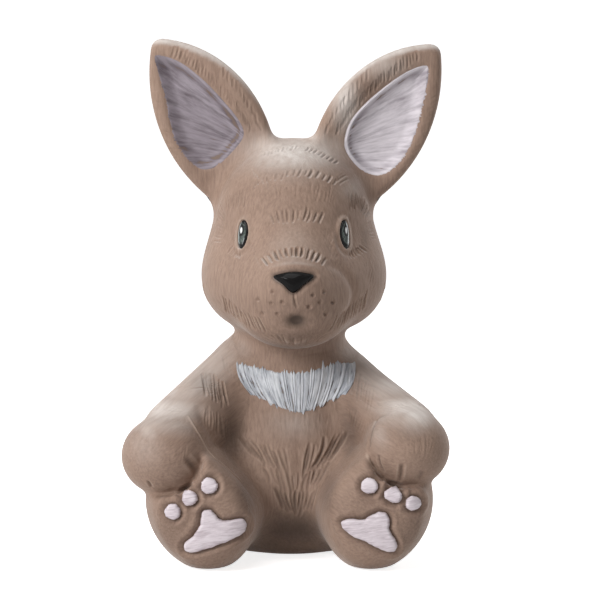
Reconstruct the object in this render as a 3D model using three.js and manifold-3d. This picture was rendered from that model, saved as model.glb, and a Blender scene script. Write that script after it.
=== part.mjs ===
// Seated hare figurine: one hollow moulding with raised pads, eyes, nose and painted fields set into it.
// Millimetres, +Z up, standing on z = 0. The hare looks along -Y, and its outward side is +X or -X.
import * as THREE from 'three';
import Module from 'manifold-3d';
import { mergeVertices } from 'three/addons/utils/BufferGeometryUtils.js';

// Moulding
const WALL = 3;
const BASE_WALL = 4;
const SEAT_GAP = 0.3;
const CREASE = 1.6;

// Trunk and neck
const HIP_WIDTH = 58;
const HIP_DEPTH = 50;
const HIP_HEIGHT = 24;
const HIP_RISE = 27;
const TRUNK_BACK = 4;
const TRUNK_ASIDE = -1;
const CHEST_WIDTH = 44;
const CHEST_DEPTH = 38;
const CHEST_RISE = 22;
const CHEST_ABOVE_HIP = 22;
const CHEST_BACK = 3;
const NECK_WIDTH = 32;
const NECK_TOP_BELOW_HEAD = 20;
const TRUNK_BLEND = 9;
const NECK_BLEND = 5;
const TAIL_WIDTH = 15;
const TAIL_HEIGHT = 13;
const TAIL_SUNK = 4;
const TAIL_BLEND = 4;

// Head
const HEAD_ABOVE_CHEST = 51;
const HEAD_WIDTH = 46.6;
const HEAD_DEPTH = 48;
const HEAD_RISE = 24.3;
const HEAD_BACK = 1;
const CHEEK_WIDTH = 53.6;
const CHEEK_DROP = 15.5;
const CHEEK_REACH = 3;
const CHEEK_RISE = 26.8;
const CHEEK_DEPTH = 30.8;
const MUZZLE_WIDTH = 33;
const MUZZLE_DROP = 18.5;
const MUZZLE_REACH = 35.5;
const MUZZLE_DEPTH = 34;
const MUZZLE_RISE = 12;
const CHIN_WIDTH = 22;
const CHIN_DROP = 27;
const CHIN_DEPTH = 18;
const CHIN_BEHIND_MUZZLE = 3;
const CHIN_RISE = 6.5;
const BRIDGE_WIDTH = 17;
const BRIDGE_REACH = 12;
const BRIDGE_TIP_WIDTH = 11;
const BRIDGE_TIP_BELOW_NOSE = 2;
const HEAD_BLEND = 10;
const MOUTH_ASIDE = 0.8;
const MOUTH_DROP = 25.6;
const MOUTH_WIDTH = 4.3;
const MOUTH_HEIGHT = 3.4;
const MOUTH_DEPTH = 1.6;

// Ears
const EAR_LENGTH = 63;
const EAR_ROOT_ABOVE_HEAD = -1.5;
const EAR_BACK = 2;
const EAR_OUTER_BULGE = 12;
const EAR_INNER_BULGE = 18.5;
const EAR_THICKNESS = 6;
const EAR_RIM_ROUND = 3;
const EAR_TIP_ROUND = 3.2;
const EAR_CURL = 2.6;
const EAR_HOLLOW = 1.7;
const EAR_TURN = 8;
const EAR_BLEND = 6;
const EAR_SUNK = 13;
const EAR_STUB = 26;
const EAR_STUB_BACK = 0.8;
const LEFT_EAR_LEAN = 29.6;
const LEFT_EAR_ROOT_OUT = 10;
const RIGHT_EAR_LEAN = 32.6;
const RIGHT_EAR_ROOT_OUT = 8.5;
const LINING_WIDTH = 20;
const LINING_SPAN = 24.5;
const LINING_TIP_WIDTH = 3;
const LINING_ABOVE_ROOT = 30;
const LINING_OUT = -1;
const LINING_LEAN = 0.5;

// Arms and paws
const SHOULDER_OUT = 14.5;
const LEFT_SHOULDER_ABOVE_CHEST = 6;
const RIGHT_SHOULDER_ABOVE_CHEST = 0.5;
const UPPER_ARM_WIDTH = 22;
const WRIST_WIDTH = 19;
const WRIST_OUT = 33;
const WRIST_HEIGHT = 37;
const WRIST_REACH = 20;
const ARM_BLEND = 6;
const SHOULDER_BACK = 2;
const FLANK_WIDTH = 24;
const FLANK_OUT = 23;
const FLANK_HEIGHT = 36;
const FLANK_REACH = 10;
const FLANK_SPREAD = 3;
const FLANK_DROP = 8;
const PAW_WIDTH = 24;
const PAW_LENGTH = 22.4;
const PAW_DEPTH = 22;
const PAW_REACH = 29;
const LEFT_PAW_OUT = 36.9;
const LEFT_PAW_HEIGHT = 32.2;
const RIGHT_PAW_OUT = 32.2;
const RIGHT_PAW_HEIGHT = 34.4;

// Legs and feet
const HIP_JOINT_OUT = 15;
const THIGH_WIDTH = 33;
const ANKLE_WIDTH = 29;
const FOOT_WIDTH = 32;
const FOOT_LENGTH = 40;
const FOOT_SPLAY = 20;
const FOOT_CENTRE_HEIGHT = 19;
const FOOT_REACH = 24;
const SOLE_REACH = 41;
const SOLE_ROUND = 9;
const SOLE_FLATTENED = 8;
const LEG_BLEND = 4;
const LEFT_FOOT_OUT = 26.3;
const RIGHT_FOOT_OUT = 23.2;

// Painted and raised fields, at their places seen from the front
const PAINT_DEPTH = 0.6;
const PAINT_PROUD = 0.2;
const PAD_PROUD = 0.8;
const FIELD_EDGE = 0.1;
const PAD_EDGE = 0.3;
const NOSE_PROUD = 1.1;
const EYE_PROUD = 0.7;
const EYE_WIDTH = 4.2;
const EYE_HEIGHT = 7.9;
const EYE_OUT = 14.6;
const EYE_FACING = 34;
const EYE_BELOW_HEAD = 2.4;
const NOSE_WIDTH = 11.4;
const NOSE_HEIGHT = 5.4;
const NOSE_DROP = 14.2;
const TUFT_WIDTH = 33;
const TUFT_HEIGHT = 15;
const TUFT_ABOVE_CHEST = 4.5;
const TUFT_ASIDE = 0.8;
const TOE_PAD_WIDTH = 4.5;
const TOE_PAD_SPACING = 6.5;
const TOE_ROW_OUT = 7;
const LEFT_TOE_ROW_LEAN = 36;
const LEFT_TOE_ROW_ABOVE_PAD = 8.9;
const RIGHT_TOE_ROW_LEAN = 22;
const RIGHT_TOE_ROW_ABOVE_PAD = 10.5;
const SOLE_PAD_CORE = 3.8;
const SOLE_PAD_INNER_LOBE = 7.8;
const SOLE_PAD_UPPER_LOBE = 6.6;
const SOLE_PAD_OUTER_LOBE = 8.8;
const SOLE_PAD_LOBE_SPREAD = 24;
const SOLE_PAD_HEIGHT = 12.8;
const LEFT_SOLE_PAD_IN = 4.8;
const RIGHT_SOLE_PAD_IN = 2.2;

// Base plug
const BORE = 11;
const PLUG_FLANGE = 15;
const FLANGE_THICKNESS = 1.4;
const PLUG_RECESS = 0.4;
const BARB_OVERHANG = 0.9;
const BARB_HEIGHT = 2.4;
const VENT = 2;

// Grid spacing of the moulded surface, finer where the ears are thin
const CELL = 5;
const CROSS_CELL = 3.8;
const EAR_CELL = 2.8;
const EAR_DEPTH_CELL = 2;
const THROAT_CELL = 3.4;
const CAVITY_CELL = 7;
const EVENING_ROUNDS = 6;

const CHEST_HEIGHT = HIP_HEIGHT + CHEST_ABOVE_HIP;
const HEAD_HEIGHT = CHEST_HEIGHT + HEAD_ABOVE_CHEST;
const CROWN = HEAD_HEIGHT + HEAD_RISE;
const EAR_ROOT_HEIGHT = HEAD_HEIGHT + EAR_ROOT_ABOVE_HEAD;

const wasm = await Module();
wasm.setup();

// Signed distances, negative inside

// Distance to an ellipsoid from its scaled radius and the length of its gradient.
function ellipsoid(cx, cy, cz, rx, ry, rz) {
  return (x, y, z) => {
    const [a, b, c] = [(x - cx) / rx, (y - cy) / ry, (z - cz) / rz];
    const scaled = Math.hypot(a, b, c);
    const slope = Math.hypot(a / rx, b / ry, c / rz);
    return slope < 1e-9 ? -Math.min(rx, ry, rz) : (scaled * (scaled - 1)) / slope;
  };
}

// Distance to a limb with round ends: the radius runs evenly from one end to the other.
function limb(ax, ay, az, ra, bx, by, bz, rb) {
  const [dx, dy, dz] = [bx - ax, by - ay, bz - az];
  const square = dx * dx + dy * dy + dz * dz;
  return (x, y, z) => {
    const along = ((x - ax) * dx + (y - ay) * dy + (z - az) * dz) / square;
    const t = Math.min(1, Math.max(0, along));
    return Math.hypot(x - ax - t * dx, y - ay - t * dy, z - az - t * dz) - ra - t * (rb - ra);
  };
}

// The lesser of two distances, filleted over the width k where they are alike.
function soft(a, b, k) {
  const h = Math.max(k - Math.abs(a - b), 0) / k;
  return Math.min(a, b) - (h * h * k) / 4;
}

function softMax(a, b, k) {
  return -soft(-a, -b, k);
}

function joined(k, ...solids) {
  return (x, y, z) => solids.slice(1).reduce((d, s) => soft(d, s(x, y, z), k), solids[0](x, y, z));
}

function smooth(edge0, edge1, value) {
  const t = Math.min(1, Math.max(0, (value - edge0) / (edge1 - edge0)));
  return t * t * (3 - 2 * t);
}

// Leaf of two arcs that meet at both ends of a chord along v, bulging outwards and inwards from it.
function leaf(length, outer, inner, round) {
  const outerRadius = (length * length / 4 + outer * outer) / (2 * outer);
  const innerRadius = (length * length / 4 + inner * inner) / (2 * inner);
  return (u, v) => softMax(
    Math.hypot(u - outer + outerRadius, v - length / 2) - outerRadius,
    Math.hypot(u + inner - innerRadius, v - length / 2) - innerRadius,
    round,
  );
}

function sineAndCosine(degrees) {
  const angle = THREE.MathUtils.degToRad(degrees);
  return [Math.sin(angle), Math.cos(angle)];
}

// Frame of an ear: its axes run outwards across it, from its root to its tip, and out of its face.
function earFrame(side, lean, rootOut) {
  const [s, c] = sineAndCosine(lean);
  const [st, ct] = sineAndCosine(EAR_TURN);
  return {
    centre: new THREE.Vector3(side * rootOut, EAR_BACK, EAR_ROOT_HEIGHT),
    right: new THREE.Vector3(side * c * ct, st, -s * ct),
    up: new THREE.Vector3(side * s, 0, c),
    out: new THREE.Vector3(side * c * st, -ct, -s * st),
  };
}

const earOutline = leaf(EAR_LENGTH, EAR_OUTER_BULGE, EAR_INNER_BULGE, EAR_TIP_ROUND);
const liningTip = [LINING_OUT + LINING_LEAN, LINING_ABOVE_ROOT + LINING_SPAN, 0, LINING_TIP_WIDTH / 2];
const liningArea = limb(LINING_OUT, LINING_ABOVE_ROOT, 0, LINING_WIDTH / 2, ...liningTip);

// An ear is a leaf-shaped plate. Its sides curl forwards, and its face is hollowed under its lining.
function earCurl(u) {
  const half = (EAR_OUTER_BULGE + EAR_INNER_BULGE) / 2;
  return EAR_CURL * Math.min(1.5, ((u - LINING_OUT) / half) ** 2);
}

function earHollow(u, v) {
  return EAR_HOLLOW * smooth(1.5, -2.5, liningArea(u, v, 0));
}

function ear(frame) {
  const { centre, right, up, out } = frame;
  return (x, y, z) => {
    const [dx, dy, dz] = [x - centre.x, y - centre.y, z - centre.z];
    const u = dx * right.x + dy * right.y + dz * right.z;
    const v = dx * up.x + dy * up.y + dz * up.z;
    const w = dx * out.x + dy * out.y + dz * out.z - earCurl(u);
    const faces = Math.max(w - EAR_THICKNESS / 2 + earHollow(u, v), -w - EAR_THICKNESS / 2);
    return softMax(earOutline(u, v), faces, EAR_RIM_ROUND);
  };
}

// The lower end of an ear, a little thinner than its plate, which gives the fillet round its root.
function earStub(frame) {
  const whole = ear(frame);
  const { centre, up } = frame;
  return (x, y, z) => {
    const v = (x - centre.x) * up.x + (y - centre.y) * up.y + (z - centre.z) * up.z;
    return softMax(whole(x, y, z) + EAR_STUB_BACK, v - EAR_STUB, EAR_STUB_BACK);
  };
}

// Trunk
const trunk = joined(
  TRUNK_BLEND,
  ellipsoid(TRUNK_ASIDE, TRUNK_BACK, HIP_HEIGHT, HIP_WIDTH / 2, HIP_DEPTH / 2, HIP_RISE),
  ellipsoid(TRUNK_ASIDE, CHEST_BACK, CHEST_HEIGHT, CHEST_WIDTH / 2, CHEST_DEPTH / 2, CHEST_RISE),
  limb(TRUNK_ASIDE, CHEST_BACK - 1, CHEST_HEIGHT, NECK_WIDTH / 2,
    TRUNK_ASIDE, 0, HEAD_HEIGHT - NECK_TOP_BELOW_HEAD, NECK_WIDTH / 2),
);
const tailReach = TRUNK_BACK + HIP_DEPTH / 2 - TAIL_SUNK;
const tail = ellipsoid(0, tailReach, TAIL_HEIGHT, TAIL_WIDTH / 2, TAIL_WIDTH / 2, TAIL_WIDTH / 2);

// Head
const cheekOut = (CHEEK_WIDTH - CHEEK_RISE) / 2;
const cheekHeight = HEAD_HEIGHT - CHEEK_DROP;
const cheek = (side) => ellipsoid(side * cheekOut, -CHEEK_REACH, cheekHeight,
  CHEEK_RISE / 2, CHEEK_DEPTH / 2, CHEEK_RISE / 2);
const muzzlePlace = MUZZLE_DEPTH / 2 - MUZZLE_REACH;
const chinPlace = CHIN_DEPTH / 2 + CHIN_BEHIND_MUZZLE - MUZZLE_REACH;
const noseHeight = HEAD_HEIGHT - NOSE_DROP;
const head = joined(
  HEAD_BLEND,
  ellipsoid(0, HEAD_BACK, HEAD_HEIGHT, HEAD_WIDTH / 2, HEAD_DEPTH / 2, HEAD_RISE),
  cheek(-1),
  cheek(1),
  ellipsoid(0, muzzlePlace, HEAD_HEIGHT - MUZZLE_DROP, MUZZLE_WIDTH / 2, MUZZLE_DEPTH / 2, MUZZLE_RISE),
  limb(0, -BRIDGE_REACH, HEAD_HEIGHT, BRIDGE_WIDTH / 2,
    0, BRIDGE_TIP_WIDTH / 2 - MUZZLE_REACH, noseHeight - BRIDGE_TIP_BELOW_NOSE, BRIDGE_TIP_WIDTH / 2),
  ellipsoid(0, chinPlace, HEAD_HEIGHT - CHIN_DROP, CHIN_WIDTH / 2, CHIN_DEPTH / 2, CHIN_RISE),
);

// Limbs of one side: upper arm with forearm, paw, and leg with its flat-soled foot.
function arm(side, shoulder, pawOut, pawHeight) {
  return joined(
    ARM_BLEND,
    limb(side * FLANK_OUT, 0, FLANK_HEIGHT, FLANK_WIDTH / 2,
      side * (FLANK_OUT + FLANK_SPREAD), -FLANK_REACH, FLANK_HEIGHT - FLANK_DROP, FLANK_WIDTH / 2),
    limb(side * SHOULDER_OUT, SHOULDER_BACK, CHEST_HEIGHT + shoulder, UPPER_ARM_WIDTH / 2,
      side * WRIST_OUT, -WRIST_REACH, WRIST_HEIGHT, WRIST_WIDTH / 2),
    ellipsoid(side * pawOut, -PAW_REACH, pawHeight, PAW_WIDTH / 2, PAW_DEPTH / 2, PAW_LENGTH / 2),
  );
}

function leg(side, footOut) {
  const thigh = limb(side * HIP_JOINT_OUT, 0, FOOT_CENTRE_HEIGHT, THIGH_WIDTH / 2,
    side * footOut, -FOOT_REACH, FOOT_CENTRE_HEIGHT, ANKLE_WIDTH / 2);
  const halfDepth = SOLE_REACH - FOOT_REACH + SOLE_FLATTENED;
  const upright = ellipsoid(0, 0, 0, FOOT_WIDTH / 2, halfDepth, FOOT_LENGTH / 2);
  const [s, c] = sineAndCosine(side * FOOT_SPLAY);
  const foot = (x, y, z) => {
    const [dx, dz] = [x - side * footOut, z - FOOT_CENTRE_HEIGHT];
    return upright(dx * c - dz * s, y + FOOT_REACH, dx * s + dz * c);
  };
  return (x, y, z) => {
    const whole = soft(thigh(x, y, z), foot(x, y, z), LEG_BLEND);
    return softMax(whole, -SOLE_REACH - y, SOLE_ROUND);
  };
}

const arms = [
  arm(-1, LEFT_SHOULDER_ABOVE_CHEST, LEFT_PAW_OUT, LEFT_PAW_HEIGHT),
  arm(1, RIGHT_SHOULDER_ABOVE_CHEST, RIGHT_PAW_OUT, RIGHT_PAW_HEIGHT),
];
const legs = [leg(-1, LEFT_FOOT_OUT), leg(1, RIGHT_FOOT_OUT)];
const earFrames = [
  earFrame(-1, LEFT_EAR_LEAN, LEFT_EAR_ROOT_OUT),
  earFrame(1, RIGHT_EAR_LEAN, RIGHT_EAR_ROOT_OUT),
];
const ears = earFrames.map(ear);
const earStubs = earFrames.map(earStub);

// The hare without its ears, which the hollow inside follows, with their stubs, and with whole ears.
function bodyForm(x, y, z) {
  const middle = soft(trunk(x, y, z), tail(x, y, z), TAIL_BLEND);
  const lower = Math.min(legs[0](x, y, z), legs[1](x, y, z));
  const upper = Math.min(arms[0](x, y, z), arms[1](x, y, z));
  const fillet = CREASE + (ARM_BLEND - CREASE) * smooth(-4, 4, lower - middle);
  const body = soft(soft(middle, lower, LEG_BLEND), upper, fillet);
  return soft(body, head(x, y, z), NECK_BLEND);
}

function stubbedForm(x, y, z) {
  return earStubs.reduce((d, stub) => soft(d, stub(x, y, z), EAR_BLEND), bodyForm(x, y, z));
}

function hareForm(x, y, z) {
  return ears.reduce((d, one) => soft(d, one(x, y, z), EAR_BLEND), bodyForm(x, y, z));
}

// Meshes and solids

function solidOf(geometry) {
  const bare = geometry.clone();
  bare.deleteAttribute('normal');
  bare.deleteAttribute('uv');
  const merged = mergeVertices(bare, 1e-4);
  return new wasm.Manifold(new wasm.Mesh({
    numProp: 3,
    vertProperties: new Float32Array(merged.attributes.position.array),
    triVerts: new Uint32Array(merged.index.array),
  }));
}

function geometryOf(solid) {
  const mesh = solid.getMesh();
  const geometry = new THREE.BufferGeometry();
  geometry.setAttribute('position', new THREE.BufferAttribute(new Float32Array(mesh.vertProperties), 3));
  geometry.setIndex(new THREE.BufferAttribute(new Uint32Array(mesh.triVerts), 1));
  return geometry;
}

function indexed(positions, triangles) {
  const geometry = new THREE.BufferGeometry();
  geometry.setAttribute('position', new THREE.Float32BufferAttribute(positions, 3));
  geometry.setIndex(triangles);
  return geometry;
}

// Grid lines from lo to hi whose spacing at each place is given by a function.
function gridLines(lo, hi, spacing) {
  const lines = [lo];
  while (lines[lines.length - 1] < hi) {
    const last = lines[lines.length - 1];
    lines.push(last + spacing(last));
  }
  return lines;
}

// Closed skin where a form has the given level. Each grid cell that the surface crosses gets one vertex, at
// the mean of the crossings on its edges, and each crossed grid edge gets one quad.
function skin(form, level, xs, ys, zs) {
  const [nx, ny, nz] = [xs.length, ys.length, zs.length];
  const index = (i, j, k) => (k * ny + j) * nx + i;
  const values = new Float64Array(nx * ny * nz);
  for (let k = 0; k < nz; k++) {
    for (let j = 0; j < ny; j++) {
      for (let i = 0; i < nx; i++) values[index(i, j, k)] = form(xs[i], ys[j], zs[k]) - level;
    }
  }
  const cellVertex = new Int32Array(nx * ny * nz).fill(-1);
  const positions = [];
  const corners = [0, 1, 2, 3, 4, 5, 6, 7].map((n) => [n & 1, (n >> 1) & 1, n >> 2]);
  const edges = corners.flatMap((a, m) => corners.map((b, n) => [m, n])
    .filter(([, n]) => n > m && [1, 2, 4].includes(m ^ n)));
  for (let k = 0; k < nz - 1; k++) {
    for (let j = 0; j < ny - 1; j++) {
      for (let i = 0; i < nx - 1; i++) {
        const at = corners.map(([a, b, c]) => values[index(i + a, j + b, k + c)]);
        if (at.every((v) => v < 0) || at.every((v) => v >= 0)) continue;
        const mean = new THREE.Vector3();
        let crossings = 0;
        for (const [m, n] of edges) {
          if ((at[m] < 0) === (at[n] < 0)) continue;
          const t = at[m] / (at[m] - at[n]);
          const [p, q] = [corners[m], corners[n]];
          mean.x += xs[i + p[0]] + t * (xs[i + q[0]] - xs[i + p[0]]);
          mean.y += ys[j + p[1]] + t * (ys[j + q[1]] - ys[j + p[1]]);
          mean.z += zs[k + p[2]] + t * (zs[k + q[2]] - zs[k + p[2]]);
          crossings += 1;
        }
        mean.divideScalar(crossings);
        cellVertex[index(i, j, k)] = positions.length / 3;
        positions.push(...mean.toArray());
      }
    }
  }
  const triangles = [];
  const corner = (v) => new THREE.Vector3().fromArray(positions, 3 * v);
  const quad = (a, b, c, d, flip) => {
    const [p, q] = flip ? [d, b] : [b, d];
    const [across, along] = [corner(a).distanceTo(corner(c)), corner(p).distanceTo(corner(q))];
    triangles.push(...(across < along ? [a, p, c, a, c, q] : [a, p, q, p, c, q]));
  };
  const cell = (i, j, k) => cellVertex[index(i, j, k)];
  for (let k = 1; k < nz - 1; k++) {
    for (let j = 1; j < ny - 1; j++) {
      for (let i = 1; i < nx - 1; i++) {
        const inside = values[index(i, j, k)] < 0;
        if (inside !== values[index(i + 1, j, k)] < 0) {
          quad(cell(i, j - 1, k - 1), cell(i, j, k - 1), cell(i, j, k), cell(i, j - 1, k), !inside);
        }
        if (inside !== values[index(i, j + 1, k)] < 0) {
          quad(cell(i - 1, j, k - 1), cell(i - 1, j, k), cell(i, j, k), cell(i, j, k - 1), !inside);
        }
        if (inside !== values[index(i, j, k + 1)] < 0) {
          quad(cell(i - 1, j - 1, k), cell(i, j - 1, k), cell(i, j, k), cell(i - 1, j, k), !inside);
        }
      }
    }
  }
  return indexed(evened(form, level, positions, triangles), triangles);
}

// Vertices moved half way to the mean of their neighbours and drawn back onto the surface, in a few rounds.
function evened(form, level, positions, triangles) {
  let points = positions.slice();
  for (let round = 0; round < EVENING_ROUNDS; round++) {
    const sums = new Float64Array(points.length);
    const counts = new Float64Array(points.length / 3);
    for (let t = 0; t < triangles.length; t++) {
      const [from, to] = [triangles[t], triangles[t % 3 === 2 ? t - 2 : t + 1]];
      for (let axis = 0; axis < 3; axis++) sums[3 * from + axis] += points[3 * to + axis];
      counts[from] += 1;
    }
    points = Array.from(counts).flatMap((count, v) => {
      const mean = new THREE.Vector3().fromArray(sums, 3 * v).divideScalar(count);
      const here = new THREE.Vector3().fromArray(points, 3 * v);
      return drawnTo(form, level, here.lerp(mean, 0.5)).toArray();
    });
  }
  return points;
}

// A point moved down the slope of the form onto its level, by at most half a millimetre a step.
function drawnTo(form, level, point) {
  const p = point.clone();
  const h = 0.05;
  for (let step = 0; step < 4; step++) {
    const off = form(p.x, p.y, p.z) - level;
    const slope = new THREE.Vector3(
      form(p.x + h, p.y, p.z) - form(p.x - h, p.y, p.z),
      form(p.x, p.y + h, p.z) - form(p.x, p.y - h, p.z),
      form(p.x, p.y, p.z + h) - form(p.x, p.y, p.z - h),
    ).divideScalar(2 * h);
    const move = slope.multiplyScalar(-off / Math.max(slope.lengthSq(), 0.2));
    p.add(move.clampLength(0, 0.5));
  }
  return p;
}

// Outlines of fields: points round the field's own centre, anticlockwise as seen from outside
const START = 12;

function oval(width, height, count) {
  return Array.from({ length: count }, (_, n) => {
    const angle = (2 * Math.PI * n) / count;
    return new THREE.Vector2((width / 2) * Math.cos(angle), (height / 2) * Math.sin(angle));
  });
}

// Where rays from the middle of an area meet its edge. The rays are spread as on an oval of these halves.
function edgeOf(area, middle, halfWidth, halfLength, count) {
  return oval(2 * halfWidth, 2 * halfLength, count).map((ray) => {
    let [inner, outer] = [0, 2];
    for (let step = 0; step < 30; step++) {
      const reach = (inner + outer) / 2;
      if (area(middle.x + ray.x * reach, middle.y + ray.y * reach, 0) < 0) inner = reach;
      else outer = reach;
    }
    return ray.multiplyScalar(inner);
  });
}

// A closed smooth curve through a few corners, given in halves of the field's width and height.
function curved(width, height, corners, count) {
  const points = corners.map(([a, b]) => new THREE.Vector3((a * width) / 2, (b * height) / 2, 0));
  const curve = new THREE.CatmullRomCurve3(points, true, 'centripetal');
  return Array.from({ length: count }, (_, n) => {
    const p = curve.getPointAt(n / count);
    return new THREE.Vector2(p.x, p.y);
  });
}

// A core with rounded lobes, each at its own angle and reach.
function lobed(core, lobes, spread, count) {
  return Array.from({ length: count }, (_, n) => {
    const degrees = (360 * n) / count;
    const reach = lobes.reduce((sum, [lobeAngle, length]) => {
      const off = THREE.MathUtils.euclideanModulo(degrees - lobeAngle + 180, 360) - 180;
      return sum + (length - core) * Math.exp(-((off / spread) ** 2));
    }, core);
    const angle = THREE.MathUtils.degToRad(degrees);
    return new THREE.Vector2(reach * Math.cos(angle), reach * Math.sin(angle));
  });
}

function grown(ring, rim) {
  return ring.map((p, n) => {
    const [after, before] = [ring[(n + 1) % ring.length], ring[(n + ring.length - 1) % ring.length]];
    const along = after.clone().sub(before).normalize();
    return new THREE.Vector2(p.x + along.y * rim, p.y - along.x * rim);
  });
}

// The point at which a line along -out meets a level of the hare's surface, or is deepest inside it.
function thrown(point, out, level) {
  let p = point.clone().addScaledVector(out, START);
  let off = hareForm(p.x, p.y, p.z) - level;
  for (let step = 0; step < 200 && Math.abs(off) > 1e-5; step++) {
    const next = p.clone().addScaledVector(out, -0.7 * off);
    const nextOff = hareForm(next.x, next.y, next.z) - level;
    if (off > 0 && off < WALL && nextOff > off) break;
    [p, off] = [next, nextOff];
  }
  return p;
}

// Frame on the surface at a place seen from the front, looking out by an azimuth.
function frontFrame(x, z, azimuth) {
  const turn = THREE.MathUtils.degToRad(azimuth);
  return {
    centre: thrown(new THREE.Vector3(x, front, z), new THREE.Vector3(0, -1, 0), 0),
    right: new THREE.Vector3(Math.cos(turn), Math.sin(turn), 0),
    up: new THREE.Vector3(0, 0, 1),
    out: new THREE.Vector3(Math.sin(turn), -Math.cos(turn), 0),
  };
}

// Solid inside an outline between two levels of the hare's surface. Rings of the outline are thrown onto
// the surface, and the top level falls from the middle to the rim.
function inlay(outline, frame, top, rim, bottom, rings) {
  const { centre, right, up, out } = frame;
  const mirrored = right.clone().cross(up).dot(out) < 0;
  const ring = mirrored ? [...outline].reverse() : outline;
  const spot = (p) => centre.clone().addScaledVector(right, p.x).addScaledVector(up, p.y);
  const middle = ring.reduce((sum, p) => sum.add(p), new THREE.Vector2()).divideScalar(ring.length);
  const from = (p, share) => spot(middle.clone().lerp(p, share));
  const positions = [];
  for (const level of [(s) => rim + (top - rim) * (1 - s ** 3), () => bottom]) {
    positions.push(...thrown(from(ring[0], 0), out, level(0)).toArray());
    for (let n = 1; n <= rings; n++) {
      const share = n / rings;
      for (const p of ring) positions.push(...thrown(from(p, share), out, level(share)).toArray());
    }
  }
  const count = ring.length;
  const base = 1 + rings * count;
  const vertex = (n, m) => (n === 0 ? 0 : 1 + (n - 1) * count + (m % count));
  const triangles = [];
  for (let m = 0; m < count; m++) {
    triangles.push(0, vertex(1, m), vertex(1, m + 1));
    triangles.push(base, base + vertex(1, m + 1), base + vertex(1, m));
    for (let n = 1; n < rings; n++) {
      const [a, b, c, d] = [vertex(n, m), vertex(n + 1, m), vertex(n + 1, m + 1), vertex(n, m + 1)];
      triangles.push(a, b, c, a, c, d);
      triangles.push(base + a, base + c, base + b, base + a, base + d, base + c);
    }
    const [a, b] = [vertex(rings, m), vertex(rings, m + 1)];
    triangles.push(a, base + a, base + b, a, base + b, b);
  }
  return indexed(positions, triangles);
}

// An ear's plate: rings of its outline run from the middle of its face, over the rim, to that of its back.
function earPlate(frame) {
  const { centre, right, up, out } = frame;
  const middle = new THREE.Vector2((EAR_OUTER_BULGE - EAR_INNER_BULGE) / 2, EAR_LENGTH / 2);
  const halfWidth = (EAR_OUTER_BULGE + EAR_INNER_BULGE) / 2;
  const outline = edgeOf(earOutline, middle, halfWidth, EAR_LENGTH / 2, 36);
  const ring = right.clone().cross(up).dot(out) < 0 ? outline.reverse() : outline;
  const count = ring.length;
  const shares = [0.45, 0.7, 0.84, 0.93, 0.98];
  const faceSide = shares.map((share) => [share, 1]);
  const backSide = shares.map((share) => [share, -1]).reverse();
  const sections = [...faceSide, [1, 0], ...backSide];
  const point = (p, share, face) => {
    const [u, v] = [middle.x + p.x * share, middle.y + p.y * share];
    const rounded = 1 - Math.min(1, Math.max(0, -earOutline(u, v) / EAR_RIM_ROUND));
    const half = (EAR_THICKNESS / 2) * Math.sqrt(1 - rounded ** 2);
    const w = earCurl(u) + face * half - (face > 0 ? earHollow(u, v) : 0);
    const place = centre.clone().addScaledVector(right, u).addScaledVector(up, v);
    return place.addScaledVector(out, w).toArray();
  };
  const positions = [
    ...point(ring[0], 0, 1),
    ...sections.flatMap(([share, face]) => ring.flatMap((p) => point(p, share, face))),
    ...point(ring[0], 0, -1),
  ];
  const last = 1 + sections.length * count;
  const triangles = [];
  for (let m = 0; m < count; m++) {
    const next = (m + 1) % count;
    triangles.push(0, 1 + m, 1 + next, last, last - count + next, last - count + m);
    for (let n = 1; n < sections.length; n++) {
      const [a, b] = [1 + (n - 1) * count + m, 1 + (n - 1) * count + next];
      triangles.push(a, a + count, b + count, a, b + count, b);
    }
  }
  return indexed(positions, triangles);
}

const hare = new THREE.Group();

function add(name, geometry, colour, roughness) {
  const material = new THREE.MeshStandardMaterial({ color: colour, roughness, metalness: 0 });
  const mesh = new THREE.Mesh(geometry, material);
  mesh.name = name;
  hare.add(mesh);
}

// The moulding: outer skin cut flat at the ground, with the hollow behind its wall
function mirroredLines(reach, spacing) {
  const half = gridLines(spacing / 2, reach, () => spacing);
  return [...half.map((v) => -v).reverse(), ...half];
}

const reach = Math.max(LEFT_PAW_OUT, RIGHT_PAW_OUT) + PAW_WIDTH / 2 + CELL;
const earTop = EAR_ROOT_HEIGHT + EAR_LENGTH;
const front = -Math.max(SOLE_REACH, PAW_REACH + PAW_DEPTH / 2, MUZZLE_REACH) - 2 * CELL;
const back = tailReach + TAIL_WIDTH / 2 + CELL;
const byEars = (y) => Math.abs(y - EAR_BACK) < EAR_THICKNESS + EAR_CURL;
const byThroat = (z) => Math.abs(z - HEAD_HEIGHT + CHIN_DROP + CHIN_RISE) < CHIN_RISE + CELL;
const layer = (z) => (z > EAR_ROOT_HEIGHT + EAR_SUNK ? EAR_CELL : byThroat(z) ? THROAT_CELL : CELL);
const xs = mirroredLines(reach, CROSS_CELL);
const ys = gridLines(front, back, (y) => (byEars(y) ? EAR_DEPTH_CELL : CELL));
const zs = gridLines(-2 * CELL, CROWN + CELL, layer);
const above = (height) => new THREE.BoxGeometry(4 * reach, 4 * reach, 2 * earTop)
  .translate(0, 0, earTop + height);
const cavity = solidOf(skin(bodyForm, -WALL, mirroredLines(reach, CAVITY_CELL),
  gridLines(front, back, () => CAVITY_CELL), gridLines(-CAVITY_CELL, CROWN, () => CAVITY_CELL)));
let moulding = solidOf(skin(stubbedForm, 0, xs, ys, zs))
  .intersect(solidOf(above(0)))
  .subtract(cavity.intersect(solidOf(above(BASE_WALL))));
for (const frame of earFrames) moulding = moulding.add(solidOf(earPlate(frame)).subtract(cavity));

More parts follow.
